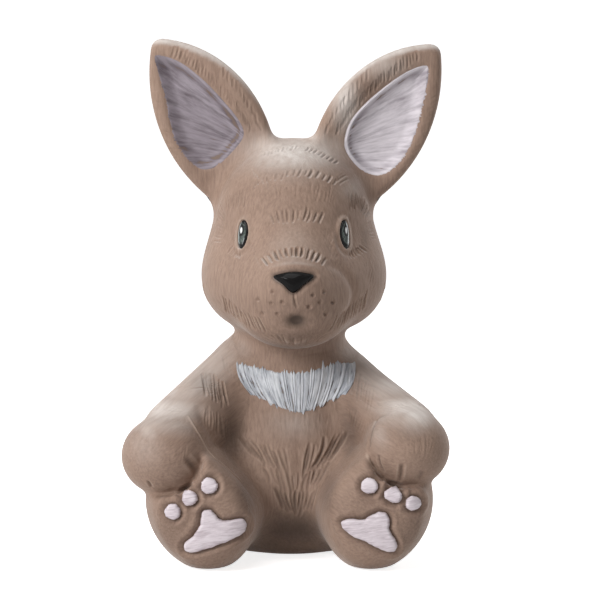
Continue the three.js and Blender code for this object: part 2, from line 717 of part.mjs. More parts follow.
// A field of colour or relief: its own solid, in a pocket of the moulding that clears it by the seat gap.
function field(name, ring, frame, { proud, rim, rings }, colour, roughness) {
  add(name, inlay(ring, frame, proud, rim, -PAINT_DEPTH, rings), colour, roughness);
  const around = grown(ring, SEAT_GAP);
  const pocket = inlay(around, frame, proud + 2, proud + 2, -PAINT_DEPTH - SEAT_GAP, rings);
  moulding = moulding.subtract(solidOf(pocket));
}

const flat = { proud: PAINT_PROUD, rim: PAINT_PROUD, rings: 3 };
const pad = { proud: PAD_PROUD, rim: PAD_EDGE, rings: 2 };

// Eyes, nose and mouth
for (const [side, name] of [[-1, 'left_eye'], [1, 'right_eye']]) {
  const frame = frontFrame(side * EYE_OUT, HEAD_HEIGHT - EYE_BELOW_HEAD, side * EYE_FACING);
  const bead = { proud: EYE_PROUD, rim: FIELD_EDGE, rings: 2 };
  field(name, oval(EYE_WIDTH, EYE_HEIGHT, 16), frame, bead, '#2a2826', 0.15);
}
const noseCorners = [[-1, 0.35], [-0.55, -0.4], [0, -1.15], [0.55, -0.4], [1, 0.4], [0.5, 0.72],
  [0, 0.85], [-0.5, 0.7]];
const noseFrame = frontFrame(0, noseHeight, 0);
field('nose', curved(NOSE_WIDTH, NOSE_HEIGHT, noseCorners, 20), noseFrame,
  { proud: NOSE_PROUD, rim: FIELD_EDGE, rings: 3 }, '#171615', 0.15);
const mouthFrame = frontFrame(MOUTH_ASIDE, HEAD_HEIGHT - MOUTH_DROP, 0);
const mouth = new THREE.SphereGeometry(1, 14, 10).scale(MOUTH_WIDTH / 2, MOUTH_DEPTH, MOUTH_HEIGHT / 2)
  .translate(...mouthFrame.centre.toArray());
moulding = moulding.subtract(solidOf(mouth));

// Ear linings
const liningLength = (LINING_WIDTH + LINING_TIP_WIDTH) / 2 + LINING_SPAN;
const liningMiddle = new THREE.Vector2(LINING_OUT, LINING_ABOVE_ROOT + (liningLength - LINING_WIDTH) / 2);
earFrames.forEach((frame, n) => {
  const centre = frame.centre.clone().addScaledVector(frame.right, liningMiddle.x)
    .addScaledVector(frame.up, liningMiddle.y);
  const ring = edgeOf(liningArea, liningMiddle, LINING_WIDTH / 2, liningLength / 2, 26);
  field(['left_ear_lining', 'right_ear_lining'][n], ring, { ...frame, centre }, flat, '#c6bfca', 0.8);
});

// Chest tuft
const tuftCorners = [[-1, 0.95], [-0.9, 0.1], [-0.55, -0.65], [0, -1.05], [0.55, -0.75], [0.92, 0.05],
  [1, 0.8], [0.55, 0.66], [0.05, 0.6], [-0.5, 0.72]];
field('chest_tuft', curved(TUFT_WIDTH, TUFT_HEIGHT, tuftCorners, 28),
  frontFrame(TUFT_ASIDE, CHEST_HEIGHT + TUFT_ABOVE_CHEST, 0), flat, '#d3d7dc', 0.8);

// Pads under the feet: three round toe pads in a leaning row over one pad with three lobes
const feet = [
  { word: 'left', side: -1, padOut: LEFT_FOOT_OUT - LEFT_SOLE_PAD_IN,
    lean: LEFT_TOE_ROW_LEAN, above: LEFT_TOE_ROW_ABOVE_PAD },
  { word: 'right', side: 1, padOut: RIGHT_FOOT_OUT - RIGHT_SOLE_PAD_IN,
    lean: RIGHT_TOE_ROW_LEAN, above: RIGHT_TOE_ROW_ABOVE_PAD },
];
const soleLobes = [[170, SOLE_PAD_INNER_LOBE], [65, SOLE_PAD_UPPER_LOBE], [-28, SOLE_PAD_OUTER_LOBE]];
for (const { word, side, padOut, lean, above: rowAbove } of feet) {
  const lobes = soleLobes.map(([degrees, length]) => [side > 0 ? degrees : 180 - degrees, length]);
  const frame = frontFrame(side * padOut, SOLE_PAD_HEIGHT, 0);
  field(`${word}_sole_pad`, lobed(SOLE_PAD_CORE, lobes, SOLE_PAD_LOBE_SPREAD, 30), frame,
    { ...pad, rings: 3 }, '#dcd2d9', 0.7);
  const [s, c] = sineAndCosine(lean);
  ['inner', 'middle', 'outer'].forEach((toe, n) => {
    const along = (n - 1) * TOE_PAD_SPACING;
    const toeOut = padOut + TOE_ROW_OUT + along * c;
    const toeHeight = SOLE_PAD_HEIGHT + rowAbove - along * s;
    field(`${word}_${toe}_toe_pad`, oval(TOE_PAD_WIDTH, TOE_PAD_WIDTH, 12),
      frontFrame(side * toeOut, toeHeight, 0), pad, '#dcd2d9', 0.7);
  });
}

// Base plug: flange in its counterbore, shank through the base and barb over its edge, with a vent
const flangeTop = PLUG_RECESS + FLANGE_THICKNESS;
const shankTop = BASE_WALL + SEAT_GAP;
const shank = BORE / 2 - SEAT_GAP;
const plugTop = shankTop + BARB_HEIGHT;
const plugProfile = [
  [VENT / 2, PLUG_RECESS], [PLUG_FLANGE / 2, PLUG_RECESS], [PLUG_FLANGE / 2, flangeTop],
  [shank, flangeTop], [shank, shankTop], [BORE / 2 + BARB_OVERHANG, shankTop],
  [shank, plugTop], [VENT / 2, plugTop], [VENT / 2, PLUG_RECESS],
].map(([r, z]) => new THREE.Vector2(r, z));
const upright = (geometry) => geometry.rotateX(Math.PI / 2).translate(TRUNK_ASIDE, TRUNK_BACK, 0);
add('base_plug', upright(new THREE.LatheGeometry(plugProfile, 20)), '#8d7a6c', 0.8);
const boreSolid = new THREE.CylinderGeometry(BORE / 2, BORE / 2, 4 * BASE_WALL, 20);
const counterbore = new THREE.CylinderGeometry(PLUG_FLANGE / 2 + SEAT_GAP, PLUG_FLANGE / 2 + SEAT_GAP,
  2 * (flangeTop + SEAT_GAP), 20);
moulding = moulding.subtract(solidOf(upright(boreSolid))).subtract(solidOf(upright(counterbore)));

add('hollow_moulding', geometryOf(moulding), '#a8917f', 0.9);

// The origin is on the ground under the middle of the figure's box
const middleOfBox = new THREE.Box3().setFromObject(hare).getCenter(new THREE.Vector3());
hare.position.set(-middleOfBox.x, -middleOfBox.y, 0);

export default hare;
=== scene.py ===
"""Seated hare figurine: a hollow rubber moulding, sprayed and brushed, dressed over its CAD model.

Shapes are worked out in millimetres in the figure's own frame: the hare looks along -Y and stands on z = 0.
"""
import math

import bpy
import numpy as np
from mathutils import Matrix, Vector


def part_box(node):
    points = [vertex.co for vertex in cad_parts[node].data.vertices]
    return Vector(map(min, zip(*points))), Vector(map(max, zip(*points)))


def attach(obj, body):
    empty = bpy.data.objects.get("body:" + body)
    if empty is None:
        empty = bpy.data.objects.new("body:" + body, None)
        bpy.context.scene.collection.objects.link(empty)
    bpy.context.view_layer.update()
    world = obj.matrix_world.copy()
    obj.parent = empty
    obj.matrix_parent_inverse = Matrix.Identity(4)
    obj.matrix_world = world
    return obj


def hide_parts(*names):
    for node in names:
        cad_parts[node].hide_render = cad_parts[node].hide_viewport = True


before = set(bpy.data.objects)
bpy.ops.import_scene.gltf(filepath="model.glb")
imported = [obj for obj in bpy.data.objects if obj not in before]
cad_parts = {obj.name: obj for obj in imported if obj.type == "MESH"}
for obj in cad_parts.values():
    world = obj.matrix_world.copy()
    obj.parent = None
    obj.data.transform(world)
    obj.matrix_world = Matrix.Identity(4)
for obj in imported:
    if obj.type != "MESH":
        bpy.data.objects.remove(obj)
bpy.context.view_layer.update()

# Studio
# A white sweep lit by one broad overhead softbox, a softer one at the hare's right hand and two strips
# behind, with the camera a little above the figure and straight in front of it.

MM = 0.001
PLUG_MIDDLE = (-1, 4)
CAMERA_DISTANCE = 900
CAMERA_ELEVATION = 5
CAMERA_ASIDE = 1.75
CAMERA_AIM_HEIGHT = 74
LENS = 184.9
ROOM_LIGHT = 0.09
FLOOR_GLOW = 0.8
FLOOR_NEAR, FLOOR_FAR = 0.2, 1.4

plug_low, plug_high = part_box("base_plug")
plug_centre = (plug_low + plug_high) / 2
SHIFT = np.array([plug_centre.x - PLUG_MIDDLE[0] * MM, plug_centre.y - PLUG_MIDDLE[1] * MM, 0])


def placed(points):
    """Points of the figure's own frame, in millimetres, as metres in the CAD frame: scaled, then shifted."""
    return np.asarray(points, dtype=float) * MM + SHIFT


def linear(code):
    """An sRGB hex colour as linear RGBA: each channel by the sRGB curve."""
    channels = [int(code[i:i + 2], 16) / 255 for i in (1, 3, 5)]
    return [c / 12.92 if c <= 0.04045 else ((c + 0.055) / 1.055) ** 2.4 for c in channels] + [1.0]


def wired(tree, kind, inputs, out=0, **settings):
    """Adds a shader node. Each input is a value or the output that feeds it. Gives the chosen output."""
    node = tree.nodes.new("ShaderNode" + kind)
    for name, value in settings.items():
        setattr(node, name, value)
    for key, value in inputs.items():
        if isinstance(value, bpy.types.NodeSocket):
            tree.links.new(value, node.inputs[key])
        else:
            node.inputs[key].default_value = value
    return node.outputs[out] if len(node.outputs) else node


def blank_tree(owner):
    """The emptied node tree of a material or world."""
    owner.use_nodes = True
    owner.node_tree.nodes.clear()
    return owner.node_tree


def seen_directly(tree):
    """1 for camera, glossy and transmission rays, which see the white room, and 0 for those that light."""
    rays = wired(tree, "LightPath", {}, "Is Camera Ray").node.outputs
    either = wired(tree, "Math", {0: rays["Is Camera Ray"], 1: rays["Is Glossy Ray"]}, operation="MAXIMUM")
    return wired(tree, "Math", {0: either, 1: rays["Is Transmission Ray"]}, operation="MAXIMUM")


def new_paint(name):
    """A material of this name, with its emptied node tree."""
    paint = bpy.data.materials.new(name)
    return paint, blank_tree(paint)


def ranged(tree, value, start, end, low=0.0, high=1.0):
    """A value carried to the low number at its start, to the high one at its end, and held between them."""
    return wired(tree, "MapRange", {"Value": value, "From Min": start, "From Max": end, "To Min": low,
                                    "To Max": high})


def painted(tree, colour, roughness, specular, **more):
    """Ends a material's tree with a surface of this colour, roughness and level of specular light."""
    surface = wired(tree, "BsdfPrincipled", {"Base Color": colour, "Roughness": roughness,
                                             "Specular IOR Level": specular, **more})
    wired(tree, "OutputMaterial", {"Surface": surface})


camera_data = bpy.data.cameras.new("camera")
camera_data.lens = LENS
camera_data.sensor_width = 36
camera_data.clip_end = 20
camera = bpy.data.objects.new("camera", camera_data)
tilt = math.radians(CAMERA_ELEVATION)
camera.location = placed([CAMERA_ASIDE, -CAMERA_DISTANCE * math.cos(tilt),
                          CAMERA_AIM_HEIGHT + CAMERA_DISTANCE * math.sin(tilt)])
camera.rotation_euler = (math.radians(90) - tilt, 0, 0)
bpy.context.scene.collection.objects.link(camera)
bpy.context.scene.camera = camera
bpy.context.scene.view_settings.view_transform = "Standard"

world = bpy.data.worlds.new("white_room")
bpy.context.scene.world = world
room = blank_tree(world)
room_level = wired(room, "MapRange", {"Value": seen_directly(room), "To Min": ROOM_LIGHT, "To Max": 1.0})
room_glow = wired(room, "Background", {"Color": linear("#ffffff"), "Strength": room_level})
wired(room, "OutputWorld", {"Surface": room_glow})

# Each softbox: name, width and height, place, the point it faces and power, all in metres and watts.
SOFTBOXES = [
    ("key_softbox", 0.40, 0.40, (-0.66, -0.65, 0.47), (0, 0, 0.07), 7.2),
    ("overhead_softbox", 0.50, 0.50, (-0.10, -0.20, 0.76), (0, 0, 0.06), 2.2),
    ("left_strip", 0.30, 0.60, (-0.55, 0.50, 0.35), (0, 0, 0.08), 1.6),
    ("right_strip", 0.30, 0.60, (0.55, 0.50, 0.35), (0, 0, 0.08), 2.2),
]
for name, width, height, place, aim, power in SOFTBOXES:
    lamp = bpy.data.lights.new(name, "AREA")
    lamp.shape = "RECTANGLE"
    lamp.size = width
    lamp.size_y = height
    lamp.energy = power
    holder = bpy.data.objects.new(name, lamp)
    holder.location = place
    facing = Vector(aim) - Vector(place)
    holder.rotation_euler = facing.to_track_quat("-Z", "Y").to_euler()
    bpy.context.scene.collection.objects.link(holder)


def mesh_object(name, points, *face_sets):
    """An object at the origin with a mesh of these points, in metres, and of these arrays of faces."""
    mesh = bpy.data.meshes.new(name)
    corners = np.concatenate([faces.ravel() for faces in face_sets]).astype(np.int32)
    sizes = np.concatenate([np.full(len(faces), faces.shape[1]) for faces in face_sets])
    mesh.vertices.add(len(points))
    mesh.vertices.foreach_set("co", np.asarray(points, dtype=np.float32).ravel())
    mesh.loops.add(len(corners))
    mesh.loops.foreach_set("vertex_index", corners)
    mesh.polygons.add(len(sizes))
    mesh.polygons.foreach_set("loop_start", (np.cumsum(sizes) - sizes).astype(np.int32))
    mesh.update(calc_edges=True)
    mesh.shade_smooth()
    piece = bpy.data.objects.new(name, mesh)
    bpy.context.scene.collection.objects.link(piece)
    return piece


def grid_faces(rows, columns, closed=False):
    """Quads between neighbours of a grid kept row after row, which wraps round its rows if closed."""
    row, column = np.meshgrid(np.arange(rows - 1), np.arange(columns - (not closed)), indexing="ij")
    beside = (column + 1) % columns
    corners = [row * columns + column, row * columns + beside, (row + 1) * columns + beside,
               (row + 1) * columns + column]
    return np.stack([c.ravel() for c in corners], axis=1)


# The sweep's profile runs level and then curves up behind: a quarter circle between two straights.
SWEEP_HALF_WIDTH, SWEEP_FRONT, SWEEP_BEND, SWEEP_RADIUS, SWEEP_TOP = 2.4, -2.6, 1.2, 0.9, 2.8
sweep_turn = np.linspace(0, math.pi / 2, 16)
sweep_y = SWEEP_BEND + SWEEP_RADIUS * np.sin(sweep_turn)
sweep_y = np.concatenate([[SWEEP_FRONT], sweep_y, sweep_y[-1:]])
sweep_z = np.concatenate([[0], SWEEP_RADIUS - SWEEP_RADIUS * np.cos(sweep_turn), [SWEEP_TOP]])
sweep_points = np.stack([
    np.repeat([[-SWEEP_HALF_WIDTH, SWEEP_HALF_WIDTH]], len(sweep_y), axis=0).ravel(),
    np.repeat(sweep_y, 2), np.repeat(sweep_z, 2)], axis=1)
sweep = mesh_object("white_sweep", sweep_points, grid_faces(len(sweep_y), 2))
sweep_paint, tree = new_paint("matt_white_sweep")
here = wired(tree, "TexCoord", {}, "Object")
away = wired(tree, "VectorMath", {0: here}, "Value", operation="LENGTH")
rising = ranged(tree, away, FLOOR_NEAR, FLOOR_FAR, FLOOR_GLOW)
glow = wired(tree, "Math", {0: seen_directly(tree), 1: rising}, operation="MULTIPLY")
painted(tree, linear("#f4f4f4"), 0.9, 0.0, **{"Emission Color": linear("#ffffff"), "Emission Strength": glow})
sweep.data.materials.append(sweep_paint)

# Moulding
# One rotationally moulded hollow skin of natural rubber, trunk, head, ears and limbs in one, with the
# coat modelled as short strokes. It is sprayed a matt grey brown, brushed with white and given painted
# highlight on what faces up, and painted shade in its creases.

HIP = dict(width=58, depth=50, height=24, rise=27)
CHEST = dict(width=44, depth=38, height=46, rise=22, back=3)
TRUNK_ASIDE, TRUNK_BACK = PLUG_MIDDLE
NECK_WIDTH = 29.8
HEAD_HEIGHT = 97
NECK_TOP = HEAD_HEIGHT - 20
NECK_FOOT_BLEND = 5
TAIL_WIDTH, TAIL_HEIGHT, TAIL_SUNK = 15, 13, 4
HEAD = dict(width=45.6, depth=48, rise=24.3, back=1, aside=-0.2)
CHEEK = dict(width=53.6, drop=16, rise=28, depth=30.8, reach=3)
MUZZLE = dict(width=33, drop=18.5, reach=35.5, depth=34, rise=12)
CHIN = dict(width=22, drop=27, depth=18, behind=3, rise=6.5)
BRIDGE_WIDTH, BRIDGE_REACH, BRIDGE_TIP_WIDTH, BRIDGE_TIP_DROP = 17, 12, 11, 16.2
TRUNK_BLEND, NECK_BLEND, TAIL_BLEND, HEAD_BLEND, MUZZLE_BLEND = 9, 5, 4, 10, 15
ARM_BLEND, PAW_BLEND, LEG_BLEND, EAR_BLEND, CREASE = 5, 4, 4, 4.5, 2.2
FLAT_EDGE, CREASE_REACH = 1.2, 4

EAR_LENGTH = 63
EAR_ROOT = HEAD_HEIGHT - 1.5
EAR_BACK = 2
EAR_OUTER_BULGE, EAR_INNER_BULGE = 12, 18.5
EAR_THICKNESS = 6
EAR_RIM_ROUND, EAR_TIP_ROUND = 4, 3.2
EAR_CURL, EAR_CURL_MIDDLE, EAR_CURL_MOST = 2.6, -1, 1.5
EAR_TURN = 8
EARS = [dict(side=-1, lean=29.6, root=10), dict(side=1, lean=32.6, root=8.5)]

SHOULDER_OUT, SHOULDER_BACK = 14.5, 2
UPPER_ARM_WIDTH, WRIST_WIDTH = 22.8, 20.4
WRIST_BACK, WRIST_HEIGHT = -20, 37.6
FLANK = (25, 2, 36)
FLANK_FORE = (27, -8, 28)
FLANK_WIDTH = 20
FLANK_BLEND = 11
PAW = (24, 24, 22.4)
PAW_REACH = 29
PAW_ROOM_GAP, PAW_ROOM_EDGE = 0.6, 2
ARMS = [dict(side=-1, shoulder=5.4, wrist=33, out=36.9, height=32.2),
        dict(side=1, shoulder=0.8, wrist=30.8, out=32.2, height=34.4)]

HIP_JOINT_OUT = 15
THIGH_WIDTH, ANKLE_WIDTH = 33, 29
FOOT_WIDTH, FOOT_LENGTH, FOOT_SPLAY = 31.4, 38.8, 15.5
FOOT_HEIGHT, FOOT_REACH, SOLE_REACH, SOLE_FLATTENED, SOLE_ROUND = 18, 24, 41, 8, 5
LEGS = [dict(side=-1, out=26, bevel=18), dict(side=1, out=23.4, bevel=20)]
BEVEL_BACK, BEVEL_RISE, BEVEL_ROUND = 30, 0.35, 5

BORE, BORE_TOP, PLUG_FLANGE, FLANGE_SEAT, SEAT_GAP = 11, 6, 15, 2.1, 0.3


def ellipsoid(p, centre, radii):
    """About the distance of points from an ellipsoid: k (k - 1) over the slope of k, the scaled radius."""
    radii = np.asarray(radii, dtype=np.float32)
    q = (p - np.asarray(centre, dtype=np.float32)) / radii
    k = np.sqrt(np.einsum("ij,ij->i", q, q))
    q /= radii
    return k * (k - 1) / np.maximum(np.sqrt(np.einsum("ij,ij->i", q, q)), 1e-6)


def limb(p, start, radius, end, end_radius):
    """Distance of points from a limb with round ends, whose radius runs evenly from one end to the other."""
    start, end = np.asarray(start, dtype=np.float32), np.asarray(end, dtype=np.float32)
    axis = end - start
    q = p - start
    t = np.clip(q @ (axis / (axis @ axis)), 0, 1)
    q -= t[:, None] * axis
    return np.sqrt(np.einsum("ij,ij->i", q, q)) - radius - t * (end_radius - radius)


def soft(a, b, k):
    """The lesser of two distances, less (k - |a - b|)^2 / 4k where they differ by less than k: a fillet."""
    h = np.maximum(k - np.abs(a - b), 0)
    return np.minimum(a, b) - h * h / (4 * k)


def soft_max(a, b, k):
    """The greater of two distances, with the same fillet."""
    return -soft(-a, -b, k)


def smooth(low, high, value):
    """0 below the low value, 1 above the high one, and 3 t^2 - 2 t^3 between them."""
    t = np.clip((value - low) / (high - low), 0, 1)
    return t * t * (3 - 2 * t)


def trunk(p):
    """Hips, chest, neck and the flanks under the arms in one, with the tail at the back."""
    hips = ellipsoid(p, (TRUNK_ASIDE, TRUNK_BACK, HIP["height"]),
                     (HIP["width"] / 2, HIP["depth"] / 2, HIP["rise"]))
    chest = ellipsoid(p, (TRUNK_ASIDE, CHEST["back"], CHEST["height"]),
                      (CHEST["width"] / 2, CHEST["depth"] / 2, CHEST["rise"]))
    neck = limb(p, (TRUNK_ASIDE, CHEST["back"] - 1, CHEST["height"]), NECK_WIDTH / 2,
                (TRUNK_ASIDE, 0, NECK_TOP), NECK_WIDTH / 2)
    tail_place = (0, TRUNK_BACK + HIP["depth"] / 2 - TAIL_SUNK, TAIL_HEIGHT)
    tail = ellipsoid(p, tail_place, (TAIL_WIDTH / 2,) * 3)
    body = soft(soft(hips, chest, TRUNK_BLEND), neck, NECK_FOOT_BLEND)
    for side in (-1, 1):
        flank = limb(p, (side * FLANK[0], *FLANK[1:]), FLANK_WIDTH / 2,
                     (side * FLANK_FORE[0], *FLANK_FORE[1:]), FLANK_WIDTH / 2)
        body = soft(body, flank, FLANK_BLEND)
    return soft(body, tail, TAIL_BLEND)


def head(p):
    """Skull, cheeks, muzzle, bridge of the nose and chin, filleted into each other in that order."""
    muzzle_height = HEAD_HEIGHT - MUZZLE["drop"]
    form = ellipsoid(p, (HEAD["aside"], HEAD["back"], HEAD_HEIGHT),
                     (HEAD["width"] / 2, HEAD["depth"] / 2, HEAD["rise"]))
    for side in (-1, 1):
        cheek_place = (side * (CHEEK["width"] - CHEEK["rise"]) / 2, -CHEEK["reach"],
                       HEAD_HEIGHT - CHEEK["drop"])
        cheek = ellipsoid(p, cheek_place, (CHEEK["rise"] / 2, CHEEK["depth"] / 2, CHEEK["rise"] / 2))
        form = soft(form, cheek, HEAD_BLEND)
    muzzle = ellipsoid(p, (0, MUZZLE["depth"] / 2 - MUZZLE["reach"], muzzle_height),
                       (MUZZLE["width"] / 2, MUZZLE["depth"] / 2, MUZZLE["rise"]))
    bridge_tip = (0, BRIDGE_TIP_WIDTH / 2 - MUZZLE["reach"], HEAD_HEIGHT - BRIDGE_TIP_DROP)
    bridge = limb(p, (0, -BRIDGE_REACH, HEAD_HEIGHT), BRIDGE_WIDTH / 2, bridge_tip, BRIDGE_TIP_WIDTH / 2)
    chin = ellipsoid(p, (0, CHIN["depth"] / 2 + CHIN["behind"] - MUZZLE["reach"], HEAD_HEIGHT - CHIN["drop"]),
                     (CHIN["width"] / 2, CHIN["depth"] / 2, CHIN["rise"]))
    form = soft(form, muzzle, MUZZLE_BLEND)
    for part in (bridge, chin):
        form = soft(form, part, HEAD_BLEND)
    return form


def arm(p, side, shoulder, wrist, out, height):
    """Upper arm down to the wrist, and the paw that lies on the foot."""
    upper = limb(p, (side * SHOULDER_OUT, SHOULDER_BACK, CHEST["height"] + shoulder), UPPER_ARM_WIDTH / 2,
                 (side * wrist, WRIST_BACK, WRIST_HEIGHT), WRIST_WIDTH / 2)
    paw = ellipsoid(p, (side * out, -PAW_REACH, height), np.array(PAW) / 2)
    return soft(upper, paw, PAW_BLEND)


def paw_room(p, side, shoulder, wrist, out, height):
    """Distance from the room that a foot leaves for the paw on it: the paw's oval drawn straight forwards."""
    half = np.array([PAW[0], PAW[2]]) / 2 - PAW_ROOM_GAP
    ring = np.hypot(*((p[:, [0, 2]] - (side * out, height)) / half).T)
    return np.maximum((ring - 1) * half[1], p[:, 1] + PAW_REACH).astype(np.float32)


def leg(p, side, out, bevel):
    """Thigh, and a leaning egg for the foot, cut flat at the sole with a rounded edge and bevelled towards
    the belly at the top."""
    thigh = limb(p, (side * HIP_JOINT_OUT, 0, FOOT_HEIGHT), THIGH_WIDTH / 2,
                 (side * out, -FOOT_REACH, FOOT_HEIGHT), ANKLE_WIDTH / 2)
    s, c = math.sin(math.radians(side * FOOT_SPLAY)), math.cos(math.radians(side * FOOT_SPLAY))
    x, z = p[:, 0] - side * out, p[:, 2] - FOOT_HEIGHT
    leaned = np.stack([x * c - z * s, p[:, 1] + FOOT_REACH, x * s + z * c], axis=1)
    depth = SOLE_REACH - FOOT_REACH + SOLE_FLATTENED
    foot = ellipsoid(leaned, (0, 0, 0), (FOOT_WIDTH / 2, depth, FOOT_LENGTH / 2))
    form = soft_max(soft(thigh, foot, LEG_BLEND), -SOLE_REACH - p[:, 1], SOLE_ROUND)
    behind = np.maximum(p[:, 1] + BEVEL_BACK, 0)
    return soft_max(form, (z - side * x - bevel - BEVEL_RISE * behind) / math.sqrt(2), BEVEL_ROUND)


def ear_axes(side, lean, root):
    """Root of an ear and its axes: outwards across it, from root to tip, and out of its face."""
    s, c = math.sin(math.radians(lean)), math.cos(math.radians(lean))
    st, ct = math.sin(math.radians(EAR_TURN)), math.cos(math.radians(EAR_TURN))
    axes = [[side * c * ct, st, -s * ct], [side * s, 0, c], [side * c * st, -ct, -s * st]]
    return np.array([side * root, EAR_BACK, EAR_ROOT], dtype=np.float32), np.array(axes, dtype=np.float32)


def ear_outline(u, v):
    """Distance from a leaf of two arcs, one bulging outwards and one inwards from the ear's chord."""
    radii = [(EAR_LENGTH ** 2 / 4 + bulge ** 2) / (2 * bulge) for bulge in (EAR_OUTER_BULGE, EAR_INNER_BULGE)]
    outer = np.hypot(u - EAR_OUTER_BULGE + radii[0], v - EAR_LENGTH / 2) - radii[0]
    inner = np.hypot(u + EAR_INNER_BULGE - radii[1], v - EAR_LENGTH / 2) - radii[1]
    return soft_max(outer, inner, EAR_TIP_ROUND)


def ear_curl(u):
    """How far the ear's sides curl forwards: the square of the share of the way to its edge."""
    half = (EAR_OUTER_BULGE + EAR_INNER_BULGE) / 2
    return EAR_CURL * np.minimum(EAR_CURL_MOST, ((u - EAR_CURL_MIDDLE) / half) ** 2)


def ear(p, side, lean, root):
    """A leaf-shaped plate of even thickness, curled forwards at its sides, with a rounded rim."""
    centre, axes = ear_axes(side, lean, root)
    u, v, w = ((p - centre) @ axes.T).T
    faces = np.abs(w - ear_curl(u)) - EAR_THICKNESS / 2
    return soft_max(ear_outline(u, v), faces, EAR_RIM_ROUND)


def hare(p):
    """Distance of points from the whole figure. The creases between arms, feet and belly stay tight."""
    legs = np.minimum(*[soft_max(leg(p, **size), -paw_room(p, **paw), PAW_ROOM_EDGE)
                        for size, paw in zip(LEGS, ARMS)])
    arms = np.minimum(*[arm(p, **size) for size in ARMS])
    middle = trunk(p)
    fillet = CREASE + (ARM_BLEND - CREASE) * smooth(-CREASE_REACH, CREASE_REACH, legs - middle)
    form = soft(soft(middle, legs, LEG_BLEND), arms, fillet)
    form = soft(form, head(p), NECK_BLEND)
    for size in EARS:
        form = soft(form, ear(p, **size), EAR_BLEND)
    bore = np.hypot(p[:, 0] - TRUNK_ASIDE, p[:, 1] - TRUNK_BACK)
    seat = np.maximum(bore - PLUG_FLANGE / 2 - SEAT_GAP, p[:, 2] - FLANGE_SEAT)
    form = np.maximum(soft_max(form, -p[:, 2], FLAT_EDGE), -seat)
    return np.maximum(form, -np.maximum(bore - BORE / 2, p[:, 2] - BORE_TOP))


def slope(form, p, reach=0.08):
    """Value and gradient of a form at points, from four samples at the corners of a small tetrahedron."""
    corners = np.array([[1, 1, 1], [1, -1, -1], [-1, 1, -1], [-1, -1, 1]], dtype=np.float32)
    samples = np.stack([form(p + reach * corner) for corner in corners], axis=1)
    return samples.mean(axis=1), samples @ corners / (4 * reach)


def skin(form, low, high, cell):
    """Quads on the surface of a form. A grid node's sign says if it is inside. Each grid cell that the
    surface crosses holds one vertex at the mean of the crossings on its edges, and each crossed edge gets
    one quad. Only cells near the surface on a grid four times as coarse are sampled finely."""
    coarse = 4 * cell
    counts = np.ceil((np.array(high) - low) / coarse).astype(int)
    lines = [np.arange(n + 1) * coarse + start for n, start in zip(counts, low)]
    nodes = np.stack(np.meshgrid(*lines, indexing="ij"), axis=-1)
    values = form(nodes.reshape(-1, 3).astype(np.float32)).reshape(nodes.shape[:3])
    corners = [values[i:i + counts[0], j:j + counts[1], k:k + counts[2]]
               for i in (0, 1) for j in (0, 1) for k in (0, 1)]
    near = np.min(np.abs(corners), axis=0) < 1.2 * coarse
    fine = np.repeat(np.repeat(np.repeat(near, 4, 0), 4, 1), 4, 2)
    field = np.repeat(np.repeat(np.repeat(corners[0], 4, 0), 4, 1), 4, 2)
    wanted = np.argwhere(fine)
    field[fine] = form((wanted * cell + low).astype(np.float32))
    inside = field < 0
    cells, crossings, flips = [], [], []
    shape = np.array(field.shape)
    for axis in range(3):
        step = np.eye(3, dtype=int)[axis]
        one, two = np.eye(3, dtype=int)[(axis + 1) % 3], np.eye(3, dtype=int)[(axis + 2) % 3]
        head_end = [slice(s, None) for s in step]
        tail_end = [slice(None, -1 if s else None) for s in step]
        edge = np.argwhere(inside[tuple(head_end)] != inside[tuple(tail_end)])
        start, end = field[tuple(edge.T)], field[tuple((edge + step).T)]
        at = edge + (start / (start - end))[:, None] * step
        around = [edge - one - two, edge - two, edge, edge - one]
        cells.append(np.stack([np.ravel_multi_index(c.T, shape) for c in around], axis=1))
        crossings.append(at)
        flips.append(start < 0)
    cells, crossings, flips = (np.concatenate(parts) for parts in (cells, crossings, flips))
    cells[~flips] = cells[~flips][:, ::-1]
    used, quads = np.unique(cells, return_inverse=True)
    quads = quads.reshape(-1, 4)
    sums = [np.bincount(quads.ravel(), np.repeat(crossings[:, a], 4)) for a in range(3)]
    points = np.stack(sums, axis=1) / np.bincount(quads.ravel())[:, None]
    return (points * cell + low).astype(np.float32), quads


def evened(form, points, quads, rounds):
    """Points moved half way to the mean of their neighbours and drawn back down the slope of the form."""
    ends = np.concatenate([quads, np.roll(quads, -1, axis=1)], axis=0).ravel()
    others = np.concatenate([np.roll(quads, -1, axis=1), quads], axis=0).ravel()
    degree = np.bincount(ends)[:, None]
    for _ in range(rounds):
        sums = [np.bincount(ends, points[others, a]) for a in range(3)]
        points = (0.5 * points + 0.5 * np.stack(sums, axis=1) / degree).astype(np.float32)
        off, gradient = slope(form, points)
        steepness = np.maximum(np.einsum("ij,ij->i", gradient, gradient), 0.2)
        points = points - gradient * np.clip(off / steepness, -0.5, 0.5)[:, None]
    return points


def vertex_normals(points, quads):
    """Normals of a mesh: the cross products of its quads' diagonals, summed at their corners."""
    cross = np.cross(points[quads[:, 2]] - points[quads[:, 0]], points[quads[:, 3]] - points[quads[:, 1]])
    sums = [np.bincount(quads.ravel(), np.repeat(cross[:, a], 4)) for a in range(3)]
    normals = np.stack(sums, axis=1)
    return normals / np.maximum(np.linalg.norm(normals, axis=1), 1e-9)[:, None]


# Coat
# Strokes scored in the modeller's clay, which the mould gave to the rubber: short grooves with raised lips,
# in rows that follow the coat. Wider grooves, ridges and dents shape the muzzle, mouth, sockets and fingers.

THROW_START, THROW_STEPS, THROW_SHARE, THROW_MOST = 14, 40, 0.85, 7
HAIRY_STRAY = 0.6


